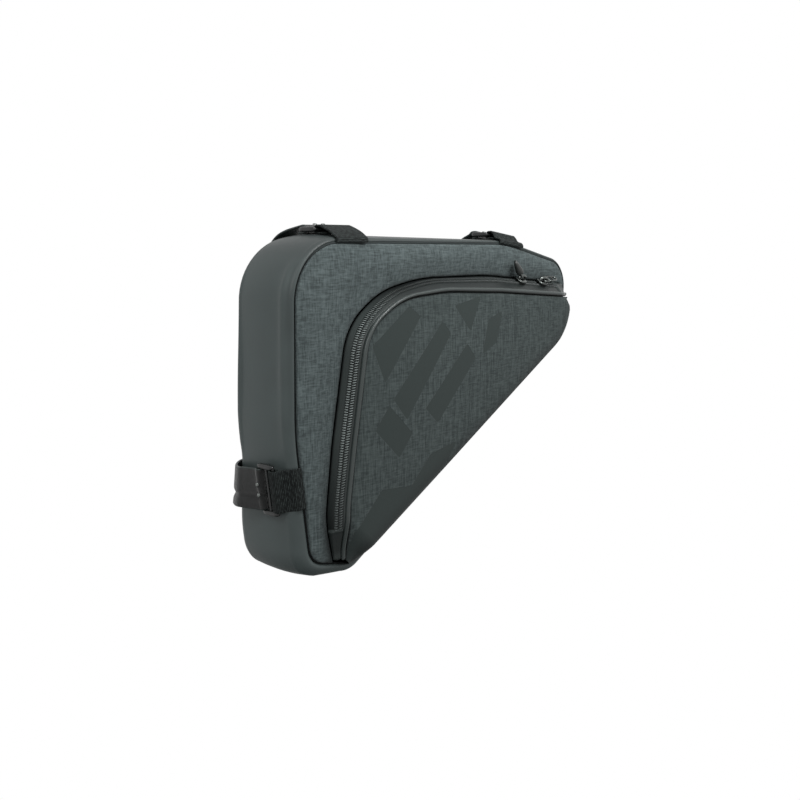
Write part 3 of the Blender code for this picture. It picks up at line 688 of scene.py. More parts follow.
def strap_press(s):
    """How freely the cloth stands up at a seam station: 0 under a strap, 1 well away from one."""
    if s.out_up > 0.5:
        gaps = [abs(s.along - REAR_STRAP_ALONG), abs(s.along - FRONT_STRAP_ALONG)]
    elif s.out_along < -0.5:
        gaps = [abs(-s.up - END_STRAP_DOWN)]
    else:
        return 1.0
    return smooth_step((min(gaps) - STRAP_WIDTH / 2 - 0.002) / 0.012)


def build_gusset():
    """The strip round the edge, with a welt beside its seams and a fuller foot; painted shade darkens it
    where it faces up and in a band beside the near seam.
    """
    rows = []
    shades = []
    for s in rounded_path(SEAM, closed=True):
        half = half_thickness(s.along)
        flat = half - s.edge
        endwise = 0.45 + 0.55 * ramp(-s.out_along, 0.3, 0.5)
        deeper = 1 + FOOT_SAG * endwise * foot_share(s) / s.edge
        low = ramp(-s.up / HEIGHT, 0.35, 0.4)
        upright = ramp(-s.out_along, 0.72, 0.26)
        welt = WELT_RISE * (1 - low) * upright * strap_press(s)
        roll = min(WELT_ROLL, 0.3 * s.edge)
        side = [Vector((half - SEAM_DEPTH, SEAM_HALF))]
        for distance in [SEAM_HALF] + roll_steps(6, roll):
            angle = math.asin(min(1.0, distance / s.edge))
            sunk = rolled_in(distance, roll)
            side.append(Vector((flat + s.edge * math.cos(angle) - sunk, distance)))
        first = math.asin((SEAM_HALF + roll) / s.edge)
        for k in range(1, EDGE_STEPS + 1):
            angle = first + (math.pi / 2 - first) * k / EDGE_STEPS
            radius = s.edge + welt * bell(s.edge * angle, WELT_REACH, WELT_WIDTH)
            side.append(Vector((flat + radius * math.cos(angle), radius * math.sin(angle))))
        middle = []
        for k in range(1, CROWN_STEPS):
            way = 1 - 2 * (k / CROWN_STEPS)
            reach = s.edge * math.pi / 2 + flat * (1 - way)
            bulge = welt * bell(reach, WELT_REACH, WELT_WIDTH) if way > 0 else 0.0
            middle.append(Vector((flat * way, s.edge + s.crown * (1 - way * way) + bulge)))
        wider = far_half(s) / half
        section = side + middle + [Vector((-p.x, p.y)) for p in side[::-1]]
        rows.append([
            at_seam(s, p.y * deeper if p.y > 0.001 else p.y, p.x if p.x > 0 else p.x * wider)
            for p in section
        ])
        # Painted shade: darker where the gusset faces up, and a darker band just beside the near seam down
        # the end, fainter low down
        top_dark = 0.22 * ramp(s.out_up, 0.3, 0.45) + 0.28 * top_run(s)
        strip = 0.26 * (1 - 0.8 * low) * upright
        shades.append([
            min(1.0, top_dark + strip * bell(reach, SEAM_DEPTH + 0.0025, 0.0030))
            for reach in path_lengths(section)
        ])
    skin("gusset_cloth", rows, FINISH["coated"], close_rows=True,
         replaces="gusset", flags={"shade": shades})


def build_seam_shadows():
    """A dark strip down in the groove of both side seams, which stands for the groove's shadow; painted
    shade takes it to near black except along the top, where the groove is shallower.
    """
    ring = around(6)
    for label, sign in (("near", 1), ("far", -1)):
        rows = []
        shades = []
        for s in rounded_path(SEAM, closed=True):
            half = half_thickness(s.along) if sign > 0 else far_half(s)
            depth = SEAM_DEPTH - SEAM_SHADOW_DEEP - 0.0012 * top_run(s)
            rows.append([
                at_seam(s, SEAM_SHADOW_WIDE * cos, sign * (half - (depth + SEAM_SHADOW_DEEP * sin)))
                for cos, sin in ring
            ])
            # Painted shade: near black everywhere but along the top
            shades.append([1 - 0.75 * top_run(s)] * len(ring))
        skin(f"binding_{label}", rows, FINISH["seam_shadow"], close_rows=True,
             close_ring=True, flags={"shade": shades})


def build_far_panel():
    """The plain side behind: a slightly padded panel inside the far seam."""
    outline = rounded_path(SEAM, closed=True)
    centre = Vector((0.34 * LENGTH, -0.36 * HEIGHT))
    insets = [SEAM_HALF, SEAM_HALF] + roll_steps()
    lifts = [SEAM_DEPTH] + [rolled_in(inset) for inset in insets[1:]]
    rows = [[at_seam(s, -inset, lift - far_half(s)) for s in outline]
            for inset, lift in zip(insets, lifts)]
    inset = insets[-1]
    for k in range(1, FAR_STEPS + 1):
        share = k / FAR_STEPS
        row = []
        for s in outline:
            edge = Vector((s.along - s.out_along * inset, s.up - s.out_up * inset))
            point = edge.lerp(centre, share * 0.999)
            fuller = far_half(s) - half_thickness(s.along)
            swell = 0.0008 * smooth_step(share * 1.6) + fuller * (1 - smooth_step(share * 1.3))
            row.append(place(point.x, point.y, -half_thickness(point.x) - swell))
        rows.append(row)
    skin("far_side_cloth", rows, FINISH["back"], close_ring=True,
         replaces="far_panel")


def panel_rows(starts, ends, profile):
    """Rows of points from each start to its end, with profile's distances and heights."""
    rows = []
    for i, (a, b) in enumerate(zip(starts, ends)):
        span = (b - a).length
        way = (b - a) / span
        row = []
        for distance, rise in profile(i, span):
            point = a + way * distance
            row.append(raised(point.x, point.y, rise))
        rows.append(row)
    return rows


def build_side_band():
    """The heather strip between the near seam and the zip, crowned, with painted shade towards the zip
    that reaches wider at its low end.
    """
    names = seam_corners("foot_end", "end_bend", "end_top", "top_bend", "tip_top")
    crease = plan(rounded_path(CREASE))
    edge = matched(plan(rounded_path([BAND_START] + names + [BAND_STOP])), crease)
    shades = []

    def profile(i, span):
        crown = BAND_CROWN * min(1.0, span / BAND_FULL_SPAN)
        distances = [SEAM_HALF] + roll_steps()
        inner = [span - d for d in reversed(distances)]
        room = inner[0] - distances[-1]
        between = [distances[-1] + room * k / BAND_STEPS for k in range(1, BAND_STEPS)]
        points = [(SEAM_HALF, -SEAM_DEPTH)]
        for distance in distances + between + inner:
            share = distance / span
            rise = crown * math.sin(math.pi * share ** 0.8) - CREASE_DEPTH * share
            rise -= rolled_in(distance) + 1.6 * rolled_in(span - distance)
            points.append((distance, rise))
        points.append((span - SEAM_HALF, -SEAM_DEPTH - CREASE_DEPTH))
        # Painted shade: dark close to the crease, and reaching wider and darker at the low stations
        fade = 0.85 * (1 - smooth_step(i / len(crease) / 0.30))
        shades.append([
            max(0.6 * ramp(d, span - 0.0045, 0.0045), fade * ramp(d, span - 0.015, 0.015))
            for d, _ in points
        ])
        return points

    rows = panel_rows(edge, crease, profile)
    skin("side_band_cloth", rows, FINISH["band"], replaces="side_band",
         flags={"shade": shades})


class PocketRim:
    """The foot and rim of the zip tape, station by station."""

    def __init__(self):
        self.crease = plan(rounded_path(CREASE))
        self.piping = matched(plan(rounded_path(PIPING)), self.crease)
        self.lengths = path_lengths(self.piping)
        self.rise = []
        for length in self.lengths:
            foot = smooth_step(length / FADE_FOOT)
            tip = smooth_step((self.lengths[-1] - length) / FADE_TIP)
            self.rise.append(POCKET_RISE * (FADE_SHARE + (1 - FADE_SHARE) * min(foot, tip)))

    def ends(self, i):
        """Foot and rim of the tape's face at a station, as (outwards, rise), and its way."""
        span = (self.piping[i] - self.crease[i]).length
        foot = Vector((0.0, -CREASE_DEPTH))
        rim = Vector((span, self.rise[i]))
        way = (rim - foot).normalized()
        return foot, rim - way * (PIPING_RADIUS + SEW_GAP), way

    def point(self, i, share, lift=0.0):
        """A point on the tape's bowed face, at a share of its width."""
        foot, rim, way = self.ends(i)
        bow = TAPE_BOW * 4 * share * (1 - share)
        spot = foot.lerp(rim, share) + Vector((-way.y, way.x)) * (lift + bow)
        plan_way = (self.piping[i] - self.crease[i]).normalized()
        flat = self.crease[i] + plan_way * spot.x
        return raised(flat.x, flat.y, spot.y)

    def face_width(self, i):
        foot, rim, _ = self.ends(i)
        return (rim - foot).length

    def point_at(self, at, share, lift=0.0):
        i = min(max(int(at), 0), len(self.crease) - 2)
        return self.point(i, share, lift).lerp(self.point(i + 1, share, lift), at - i)

    def station_at(self, length):
        """The fractional station at a length along the rim."""
        i = max(k for k in range(len(self.lengths) - 1) if self.lengths[k] <= length)
        return i + (length - self.lengths[i]) / (self.lengths[i + 1] - self.lengths[i])

    def coil_place(self, length):
        """Share of the tape's face where the coil's middle lies, at a length along the rim."""
        swerve = ramp(length / self.lengths[-1], SWERVE_FROM, SWERVE_OVER)
        return COIL_SIDE_PLACE + (COIL_TOP_PLACE - COIL_SIDE_PLACE) * swerve

    def frame(self, along):
        """Where a slider sits on the coil: its centre, forward, across and outward ways."""
        i = max(k for k in range(len(self.crease) - 1) if self.crease[k].x <= along)
        part = (along - self.crease[i].x) / (self.crease[i + 1].x - self.crease[i].x)
        share = self.coil_place(self.lengths[i])
        centre = self.point_at(i + part, share)
        forward = (self.point(i + 2, share) - self.point(i - 1, share)).normalized()
        across = (self.point(i, 0.0) - self.point(i, 1.0)).normalized()
        out = forward.cross(across).normalized()
        if out.y > 0:
            out = -out
        across = out.cross(forward).normalized()
        return centre, forward, across, out


def top_tape(reach):
    """0 up the side, 1 along the top, at a share of the rim's length."""
    return ramp(reach, 0.38, 0.14)


def build_zip_tape(rim):
    """The zip's cloth, with painted shade in its crease, under the teeth, at its low end and along the
    top.
    """
    rows = []
    shades = []
    for i, length in enumerate(rim.lengths):
        reach = length / rim.lengths[-1]
        low = 1 - smooth_step(reach / 0.22)
        top = top_tape(reach)
        middle = rim.coil_place(length)
        half = COIL_WIDTH / 2 / rim.face_width(i)
        # Painted shade: black at the tucked-in edges, and dark near the crease, under the coil, at the low
        # end and along the top
        row = [rim.point(i, -0.05, -0.0022)]
        shade = [1.0]
        for k in range(TAPE_STEPS + 1):
            share = k / TAPE_STEPS
            row.append(rim.point(i, share))
            under = 0.75 * smooth_step((half + 0.05 - abs(share - middle)) / 0.05)
            shade.append(max(1 - smooth_step(share / 0.14), under, low * (1 - ramp(share, 0.30, 0.35)),
                             top * (0.72 + 0.24 * (1 - ramp(share, 0.10, 0.5)))))
        row.append(rim.point(i, 1.04, -0.0015))
        shade.append(1.0)
        rows.append(row)
        shades.append(shade)
    skin("zip_tape_cloth", rows, FINISH["tape"], replaces="zip_tape",
         flags={"shade": shades})


def build_teeth(rim):
    """Two rows of coil ribs across the middle of the tape, darkened by painted shade along the top and at
    the low end.
    """
    start = STOP_LENGTH - 0.001
    stop = rim.lengths[-1] - STOP_TIP_LENGTH + 0.001
    vertices = []
    faces = []
    shades = []
    # A rib's section at some shares of its reach: (share, height)
    profile = [(0.10, 0.15), (0.22, 0.75), (0.5, 1.0), (0.80, 0.85), (0.97, 0.35), (1.0, 0.0)]
    for k in range(int((stop - start) / TOOTH_PITCH)):
        length = start + TOOTH_PITCH * (k + 0.5)
        at = rim.station_at(length)
        i = min(int(at), len(rim.crease) - 2)
        width = rim.face_width(i)
        forward = (rim.point(i + 1, 0.5) - rim.point(i, 0.5)).normalized()
        middle = rim.coil_place(length)
        reach = rim.lengths[i] / rim.lengths[-1]
        # Painted shade: the ribs darker along the top run and at the low end
        dim = max(0.82 * top_tape(reach), 0.6 * (1 - ramp(reach, 0.06, 0.18)))
        for side in (-1, 1):
            base = len(vertices)
            shift = forward * (TOOTH_PITCH * 0.25 * side)
            for far, lift in profile:
                shades.extend([dim] * 4)
                share = middle + side * COIL_WIDTH / 2 * far / width
                top = rim.point_at(at, share, COIL_THICK * lift + 0.0001) + shift
                low = rim.point_at(at, share, -0.0001) + shift
                spread = TOOTH_HALF * (0.55 + 0.45 * lift)
                lean = forward * (TOOTH_LEAN * far)
                vertices.extend((low - forward * spread + lean, top - forward * spread * 0.55 + lean,
                                 top + forward * spread * 0.55 + lean, low + forward * spread + lean))
            for r in range(len(profile) - 1):
                for c in range(3):
                    a = base + r * 4 + c
                    faces.append((a, a + 1, a + 5, a + 4))
            faces.append((base, base + 3, base + 2, base + 1))
    mesh = bpy.data.meshes.new("zip_teeth")
    mesh.from_pydata([tuple(v) for v in vertices], [], faces)
    mark(mesh, "shade", shades)
    link_piece("zip_teeth", mesh, FINISH["teeth"], replaces="zip_coil")


def build_stop(rim, name, length, from_tip):
    """The folded cloth tab over an end of the zip, with its turned edge and painted shade over its middle,
    lighter at both ends.
    """
    total = rim.lengths[-1]
    rows = []
    shades = []
    for k in range(STOP_STEPS + 1):
        share = k / STOP_STEPS
        reach = STOP_INSET + (length - STOP_INSET) * share
        at = rim.station_at(total - reach if from_tip else reach)
        edge = smooth_step(share / 0.05) * smooth_step((1 - share) / 0.03)
        fold = 0.0007 * bell(share, 0.95, 0.03)
        row = [rim.point_at(at, 0.02, -0.0003)]
        for j in range(15):
            across = 0.02 + 0.96 * j / 14
            lobes = 0.35 + 0.65 * abs(math.sin(math.pi * min(1.0, across * 1.9)))
            pinch = 1 - 0.55 * bell(across, 0.53, 0.05) * (1 - share)
            lift = edge * STOP_THICK * lobes * pinch + fold * edge
            row.append(rim.point_at(at, across, max(lift, 0.0) + 0.0001))
        row.append(rim.point_at(at, 0.98, -0.0003))
        rows.append(row)
        # Painted shade: darker over the tab's middle, lighter at both ends
        shades.append([0.55 * ramp(share, 0.02, 0.3) * (1 - ramp(share, 0.86, 0.1))] * len(row))
    skin(name + "_cloth", rows, FINISH["tape"], replaces=name,
         flags={"shade": shades})


def domed(rows, depth=1.0):
    """Rings with a domed end added at both ends, depth radii deep."""
    for end, inner in ((0, 1), (-1, -2)):
        middle = sum(rows[end], Vector()) / len(rows[end])
        away = (middle - sum(rows[inner], Vector()) / len(rows[inner])).normalized()
        size = (rows[end][0] - middle).length
        caps = []
        for share in (0.35, 0.7, 0.97):
            shrink = math.sqrt(1 - share * share)
            caps.append([middle + (p - middle) * shrink + away * size * share * depth for p in rows[end]])
        rows = caps[::-1] + rows if end == 0 else rows + caps
    return rows


def build_piping(rim):
    """The cord round the pocket's rim, with painted shade on its side towards the panel."""
    circle = around(18)
    rows = []
    for centre, crease, rise in zip(rim.piping, rim.crease, rim.rise):
        way = (centre - crease).normalized()
        ring = []
        for cos, sin in circle:
            flat = centre + way * cos * PIPING_RADIUS
            ring.append(raised(flat.x, flat.y, rise + sin * PIPING_RADIUS))
        rows.append(ring)
    rows = domed(rows, 0.35)
    # Painted shade: the cord's side towards the panel goes near black
    shade = [0.92 * smooth_step((cos + 0.1) / 0.7) for cos, _ in circle]
    skin("rim_piping_cover", rows, FINISH["piping"], close_ring=True,
         replaces="rim_piping", flags={"shade": [shade] * len(rows)})


# The dark print: broad slanted bars and shards, as (along, down) in millimetres
PRINT = [
    [(58, 70), (96, 44), (108, 52), (70, 96)],
    [(78, 108), (132, 56), (141, 66), (92, 124)],
    [(60, 128), (74, 112), (98, 134), (84, 150)],
    [(112, 118), (160, 74), (170, 86), (126, 130)],
    [(146, 46), (178, 40), (164, 66)],
    [(40, 196), (66, 170), (98, 172), (118, 152), (150, 146), (110, 190), (52, 240), (34, 240)],
    [(186, 58), (204, 52), (196, 76), (178, 84)],
]


def depth_in(polygon, x, y):
    """Signed distance in millimetres from a polygon's edge, positive inside."""
    inside = False
    nearest = 1e9
    for (ax, ay), (bx, by) in zip(polygon, polygon[1:] + polygon[:1]):
        if (ay > y) != (by > y) and x < (bx - ax) * (y - ay) / (by - ay) + ax:
            inside = not inside
        wx, wy = bx - ax, by - ay
        share = max(0.0, min(1.0, ((x - ax) * wx + (y - ay) * wy) / (wx * wx + wy * wy)))
        nearest = min(nearest, math.hypot(x - ax - wx * share, y - ay - wy * share))
    return nearest if inside else -nearest


def build_front_panel(rim):
    """The raised pocket panel: it rolls in at the piping, swells, and rolls down to the low seam, with
    painted shade at the piping and over the roll down to the seam.
    """
    names = seam_corners("foot", "tip_low")
    lower = plan(rounded_path([POCKET_START] + names + [POCKET_STOP]))
    ends = resampled(lower, [length / rim.lengths[-1] for length in rim.lengths])
    widest = max((b - a).length for a, b in zip(rim.piping, ends))
    last = len(ends) - 1
    prints = []
    shades = []

    def profile(i, span):
        way = (ends[i] - rim.piping[i]) / span
        tangent = rim.piping[min(i + 1, last)] - rim.piping[max(i - 1, 0)]
        slant = max(abs(way.cross(tangent.normalized())), SLANT_LIMIT)
        start = (PIPING_RADIUS + SEW_GAP) / slant
        fold = min(SHOULDER, (0.5 + 0.42 * ramp(i / last, 0.78, 0.15)) * (span - start))
        flat = span - fold
        swell = POCKET_BULGE * math.sqrt(span / widest)

        def height(share):
            turn = math.pi * (SWELL_FROM + SWELL_OVER * share)
            return rim.rise[i] + swell * math.sin(turn) * share ** SWELL_EASE

        points = [(start - 0.0004, rim.rise[i] - 0.0035)]
        for k in range(6):
            share = (k / 5) ** 1.5 * ROLL_SHARE
            reach = start + (flat - start) * share
            sunk = rolled_in(SEAM_HALF + (reach - start) * slant)
            points.append((reach, height(share) - sunk - 0.0006 * (1 - k / 5)))
        for k in range(1, PANEL_STEPS + 1):
            share = ROLL_SHARE + (1 - ROLL_SHARE) * k / PANEL_STEPS
            points.append((start + (flat - start) * share, height(share)))
        crest = points[-1][1]
        for k in range(1, EDGE_STEPS + 1):
            angle = math.pi / 2 * k / EDGE_STEPS
            drop = (crest + SHOULDER_FOOT) * (1 - math.cos(angle))
            points.append((flat + (fold - SEAM_HALF) * math.sin(angle), crest - drop))
        points.append((span - SEAM_HALF, -SEAM_DEPTH))
        row = []
        for distance, _ in points:
            spot = rim.piping[i] + way * distance
            row.append(max(depth_in(shape, spot.x * 1000, -spot.y * 1000) for shape in PRINT))
        prints.append(row)
        # Painted shade: dark where the panel tucks in at the piping, and darker over its roll down to the
        # low seam
        shades.append([
            max(0.75 * (1 - smooth_step((d - start) * slant / 0.0016)),
                0.62 * smooth_step((d - flat + 0.010) / (fold + 0.010))) for d, _ in points
        ])
        return points

    rows = panel_rows(rim.piping, ends, profile)
    skin("front_panel_cloth", rows, FINISH["front"], replaces="front_panel",
         flags={"print_depth": prints, "shade": shades})


# Hard pieces of the zip

def tube(name, points, radius, up, finish, body="bag", sides=10, flat=1.0):
    """A rounded rod through points, with domed ends; flat squeezes it along up."""
    circle = around(sides)
    rows = []
    last = len(points) - 1
    for i, point in enumerate(points):
        way = (points[min(i + 1, last)] - points[max(i - 1, 0)]).normalized()
        side = way.cross(up).normalized()
        lift = side.cross(way).normalized()
        rows.append([point + side * radius * cos + lift * radius * flat * sin for cos, sin in circle])
    return skin(name, domed(rows), finish, body, close_ring=True)


def joined(name, parts, replaces):
    """Several skins made into one piece."""
    first = parts[0]
    with bpy.context.temp_override(active_object=first, object=first, selected_objects=parts,
                                   selected_editable_objects=parts):
        bpy.ops.object.join()
    first.name = name
    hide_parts(replaces)


def build_slider(rim, label, along, pull_angle, yaw):
    """A zip slider's plate and bridge, and its pull."""
    centre, forward, across, out = rim.frame(along)
    base = centre + out * (COIL_THICK + 2 * SEW_GAP)
    half = SLIDER_WIDTH / 2
    rows = []
    # The plate's sections, as shares: (reach, width, height)
    outline = [(-0.50, 0.30, 0.55), (-0.485, 0.55, 0.8), (-0.44, 0.76, 1.0), (-0.34, 0.94, 1.0),
               (-0.2, 1.0, 1.0), (0.0, 1.0, 1.0), (0.2, 0.94, 1.0), (0.36, 0.80, 1.0),
               (0.45, 0.68, 0.9), (0.49, 0.5, 0.7), (0.50, 0.3, 0.5)]
    for reach, wide, tall in outline:
        ring = []
        for cos, sin in around(24):
            x = half * wide * squared(cos, 0.45)
            y = squared(sin, 0.5)
            if y > 0:
                lift = SLIDER_TOP * tall * (0.5 + 0.5 * y) + PLATE_CROWN * tall * (1 - (x / half) ** 2)
            else:
                lift = PLATE_UNDER * y
            ring.append(base + forward * SLIDER_LENGTH * reach + across * x + out * lift)
        rows.append(ring)
    metal = FINISH["nickel"]
    plate = skin(f"slider_{label}_plate", rows, metal, close_ring=True)
    bridge = []
    for k in range(21):
        angle = math.pi * k / 20
        reach = -math.cos(angle) * (BRIDGE_SPAN / 2 - 0.0004)
        lift = SLIDER_TOP + math.sin(angle) ** 0.6 * (BRIDGE_RISE - 0.0005) + 0.0001
        bridge.append(base + forward * reach + out * lift)
    arch = tube(f"slider_{label}_bridge", bridge, BRIDGE_RADIUS, across, metal, sides=12)
    joined(f"slider_{label}_metal", [plate, arch], f"slider_{label}")
    pin = base + out * (SLIDER_TOP + PIN_HEIGHT)
    cos, sin = math.cos(math.radians(yaw)), math.sin(math.radians(yaw))
    build_pull(label, pin, forward * cos + across * sin, across * cos - forward * sin, out, pull_angle)


def build_pull(label, pin, forward, across, out, pull_angle):
    """A pull: a wire hoop round the slider's pin, with a moulded grip or an openwork loop."""
    turn = math.radians(pull_angle)
    way = forward * math.cos(turn) + out * math.sin(turn)
    lift = across.cross(way).normalized()
    half = PULL_WIDTH / 2 - PULL_ARM / 2

    def rod(part, points, radius, finish):
        return tube(f"pull_{label}_{part}", points, radius, lift, FINISH[finish],
                    f"{label}_tab")

    hoop = [
        pin + way * (PULL_WINDOW / 2 + PULL_WINDOW / 2 * squared(cos, 0.5))
        + across * half * squared(sin, 0.5)
        for cos, sin in around(24, extra=1)
    ]
    parts = [rod("hoop", hoop, PULL_ARM / 2, "nickel")]
    if label == "rear":
        start = GRIP_START * PULL_WINDOW - PULL_ARM * 0.6
        # The grip's sections, as shares: (reach, width, height)
        profile = [(0.0, 0.60, 0.50), (0.03, 0.80, 0.80), (0.09, 0.96, 1.05), (0.2, 1.0, 1.1),
                   (0.4, 0.92, 0.98), (0.65, 0.80, 0.75), (0.85, 0.68, 0.55), (0.95, 0.55, 0.42),
                   (0.985, 0.38, 0.30), (1.0, 0.12, 0.10)]
        grip = []
        for share, wide, thick in profile:
            reach = start + (PULL_LENGTH - start) * share
            width = (PULL_WIDTH / 2) * wide
            grip.append([
                pin + way * reach + across * (squared(cos, 0.7) * width)
                + lift * (squared(sin, 0.8) * GRIP_DEPTH * thick) for cos, sin in around(20)
            ])
        parts.append(skin(f"pull_{label}_grip", grip, FINISH["rubber"],
                          f"{label}_tab", close_ring=True))
    else:
        reach = PULL_LENGTH - PULL_WINDOW
        loop = []
        for cos, sin in around(32, extra=1):
            x = squared(cos, 0.6)
            loop.append(pin + way * (PULL_WINDOW + reach / 2 * (1 + x) - PULL_ARM / 2)
                        + across * half * squared(sin, 0.6) * (0.85 - 0.15 * x))
        parts.append(rod("loop", loop, PULL_ARM * 0.62, "nickel"))
        bar = [pin + way * (PULL_WINDOW + reach * 0.5) + across * half * 0.8 * (k / 3 - 1)
               for k in range(7)]
        parts.append(rod("bar", bar, PULL_ARM * 0.5, "rubber"))
    joined(f"pull_{label}_tab", parts, f"pull_{label}")


# Straps

class StrapFrame:
    """Places at a strap: across the bag, outwards from its seam, and sideways along the seam."""

    def __init__(self, at):
        self.base = Vector((at.along, at.up))
        self.out_way = Vector((at.out_along, at.out_up))
        self.side_way = Vector((at.out_up, -at.out_along))
        self.half = half_thickness(at.along)
        self.edge = at.edge
        self.crown = at.crown

    def point(self, across, out, side):
        flat = self.base + self.out_way * out + self.side_way * side
        near = ramp(abs(across) / self.half, TAPER_START, 1 - TAPER_START)
        shift = (half_thickness(flat.x) - self.half) * near
        return place(flat.x, flat.y, across + math.copysign(shift, across))

    def knots(self, rows):
        return [Vector((k.across * self.half, k.out * self.half)) for k in rows]


def curve_through(points, steps=8):
    """A smooth line through points."""
    padded = [points[0] * 2 - points[1]] + points + [points[-1] * 2 - points[-2]]
    made = []
    for i in range(1, len(padded) - 2):
        a, b, c, d = padded[i - 1:i + 3]
        for k in range(steps):
            t = k / steps
            made.append(
                (b * 2 + (c - a) * t + (a * 2 - b * 5 + c * 4 - d) * t * t
                 + (b * 3 - a - c * 3 + d) * t * t * t) / 2
            )
    made.append(points[-1])
    return made


def wrap(bar, tangent, towards, tail):
    """The half turn round a buckle's bar, and the straight end behind it."""
    points = []
    for k in range(EDGE_STEPS + 1):
        angle = math.pi * k / EDGE_STEPS
        spoke = Vector((0.0, 1.0)) * math.cos(angle) + tangent * math.sin(angle)
        points.append(bar + spoke * WRAP_RADIUS)
    for k in range(1, 5):
        points.append(points[EDGE_STEPS] + towards * tail * k / 4)
    return points


def ribbon(name, strap, line, thick, finish, replaces, inner=None, fold=None, drift=0.0):
    """A strap with rounded selvedges along a line in the (across, out) plane of its frame.

    fold raises a lengthwise ridge and narrows the strap beyond it; drift moves and twists the loop.
    """
    last = len(line) - 1
    half = STRAP_WIDTH / 2 - thick / 2
    columns = 24
    # The section as (side, lift, whether it is on a face), once round
    section = []
    for sign in (1, -1):
        section += [((k / columns * 2 - 1) * half * sign, thick / 2 * sign, True)
                    for k in range(columns + 1)]
        section += [((half + thick / 2 * math.sin(a)) * sign, thick / 2 * math.cos(a) * sign, False)
                    for a in (0.8, 1.57, 2.34)]
    rows = []
    for i, point in enumerate(line):
        way = (line[min(i + 1, last)] - line[max(i - 1, 0)]).normalized()
        normal = Vector((-way.y, way.x))
        share = i / last
        lean = drift * ramp(share, 0.15, 0.7)
        twist = -drift * LOOP_TWIST * ramp(share, 0.15, 0.25) * fall(share, 0.95, 0.3)
        squeeze = 1 - 0.18 * ramp(share, 0.2, 0.25) * fall(share, 0.9, 0.3)
        ridge = fold.height * ramp(share, fold.start, 0.12) * fall(share, fold.stop, 0.12) if fold else 0.0
        ring = []
        for side, lift, on_face in section:
            if fold and side < 0:
                side *= squeeze
            if fold and on_face:
                lift += ridge * bell(side, fold.side, fold.width)
            spot = point + normal * lift
            ring.append(strap.point(spot.x, spot.y - twist * side, side + lean))
        rows.append(ring)
    thing = skin(name, rows, finish, close_ring=True, replaces=replaces)
    width = len(section)
    cap_ends(thing, [range(width - 1, -1, -1), range(last * width, (last + 1) * width)])
    if inner:
        thing.data.materials.append(inner)
        lower = range(columns + 4, 2 * columns + 4)
        for face in thing.data.polygons:
            if len(face.vertices) == 4 and min(v % width for v in face.vertices) in lower:
                face.material_index = 1


def cap_ends(thing, loops):
    shape = bmesh.new()
    shape.from_mesh(thing.data)
    shape.verts.ensure_lookup_table()
    for loop in loops:
        shape.faces.new([shape.verts[i] for i in loop])
    shape.to_mesh(thing.data)
    shape.free()


def build_buckle(name, strap, near_bar):
    """A three-bar slide: two rounded end caps joined by three bars."""
    middle = near_bar + Vector((-BAR_PITCH, 0.0))
    origin = strap.point(middle.x, middle.y, 0.0)
    across_way = (strap.point(middle.x + 1, middle.y, 0.0) - origin).normalized()
    out_way = (strap.point(middle.x, middle.y + 1, 0.0) - origin).normalized()
    side_way = (strap.point(middle.x, middle.y, 1.0) - origin).normalized()
    half = STRAP_WIDTH / 2 + SEW_GAP
    plastic = FINISH["plastic"]
    parts = []
    for bar in (-1, 0, 1):
        shift = across_way * bar * BAR_PITCH
        line = [origin + shift + side_way * (half + 0.001) * (k / 4 - 1) for k in range(9)]
        parts.append(tube(f"{name}_bar", line, BAR_WIDE / 2, out_way, plastic,
                          flat=BAR_THICK / BAR_WIDE, sides=12))
    reach = BAR_PITCH + BAR_WIDE / 2
    for sign in (-1, 1):
        rows = []
        for k in range(CAP_STEPS + 1):
            x = -math.cos(math.pi * k / CAP_STEPS)
            fullness = max(max(0.0, 1 - abs(x) ** 6) ** 0.5, 0.02)
            ring = []
            for cos, sin in around(16):
                y = squared(cos, 0.6) * BUCKLE_RIM * CAP_WIDE * fullness
                z = squared(sin, 0.6) * BUCKLE_THICK * CAP_TALL * fullness
                ring.append(origin + across_way * x * reach
                            + side_way * (sign * (half + BUCKLE_RIM / 2) + y) + out_way * z)
            rows.append(ring)
        parts.append(skin(f"{name}_cap", rows, plastic, close_ring=True))
    joined(f"{name}_moulding", parts, name)


def build_rivet(name, strap, spot, side):
    rows = []
    for radius, lift in ((1.0, -0.2), (1.0, 0.25), (0.9, 0.62), (0.68, 0.88), (0.36, 1.0), (0.02, 1.04)):
        reach = RIVET_RADIUS * radius
        rows.append([
            strap.point(spot.x + reach * cos, spot.y + lift * RIVET_RISE, side + reach * sin)
            for cos, sin in around(16)
        ])
    skin(name + "_dome", rows, FINISH["stud"], close_ring=True, replaces=name)


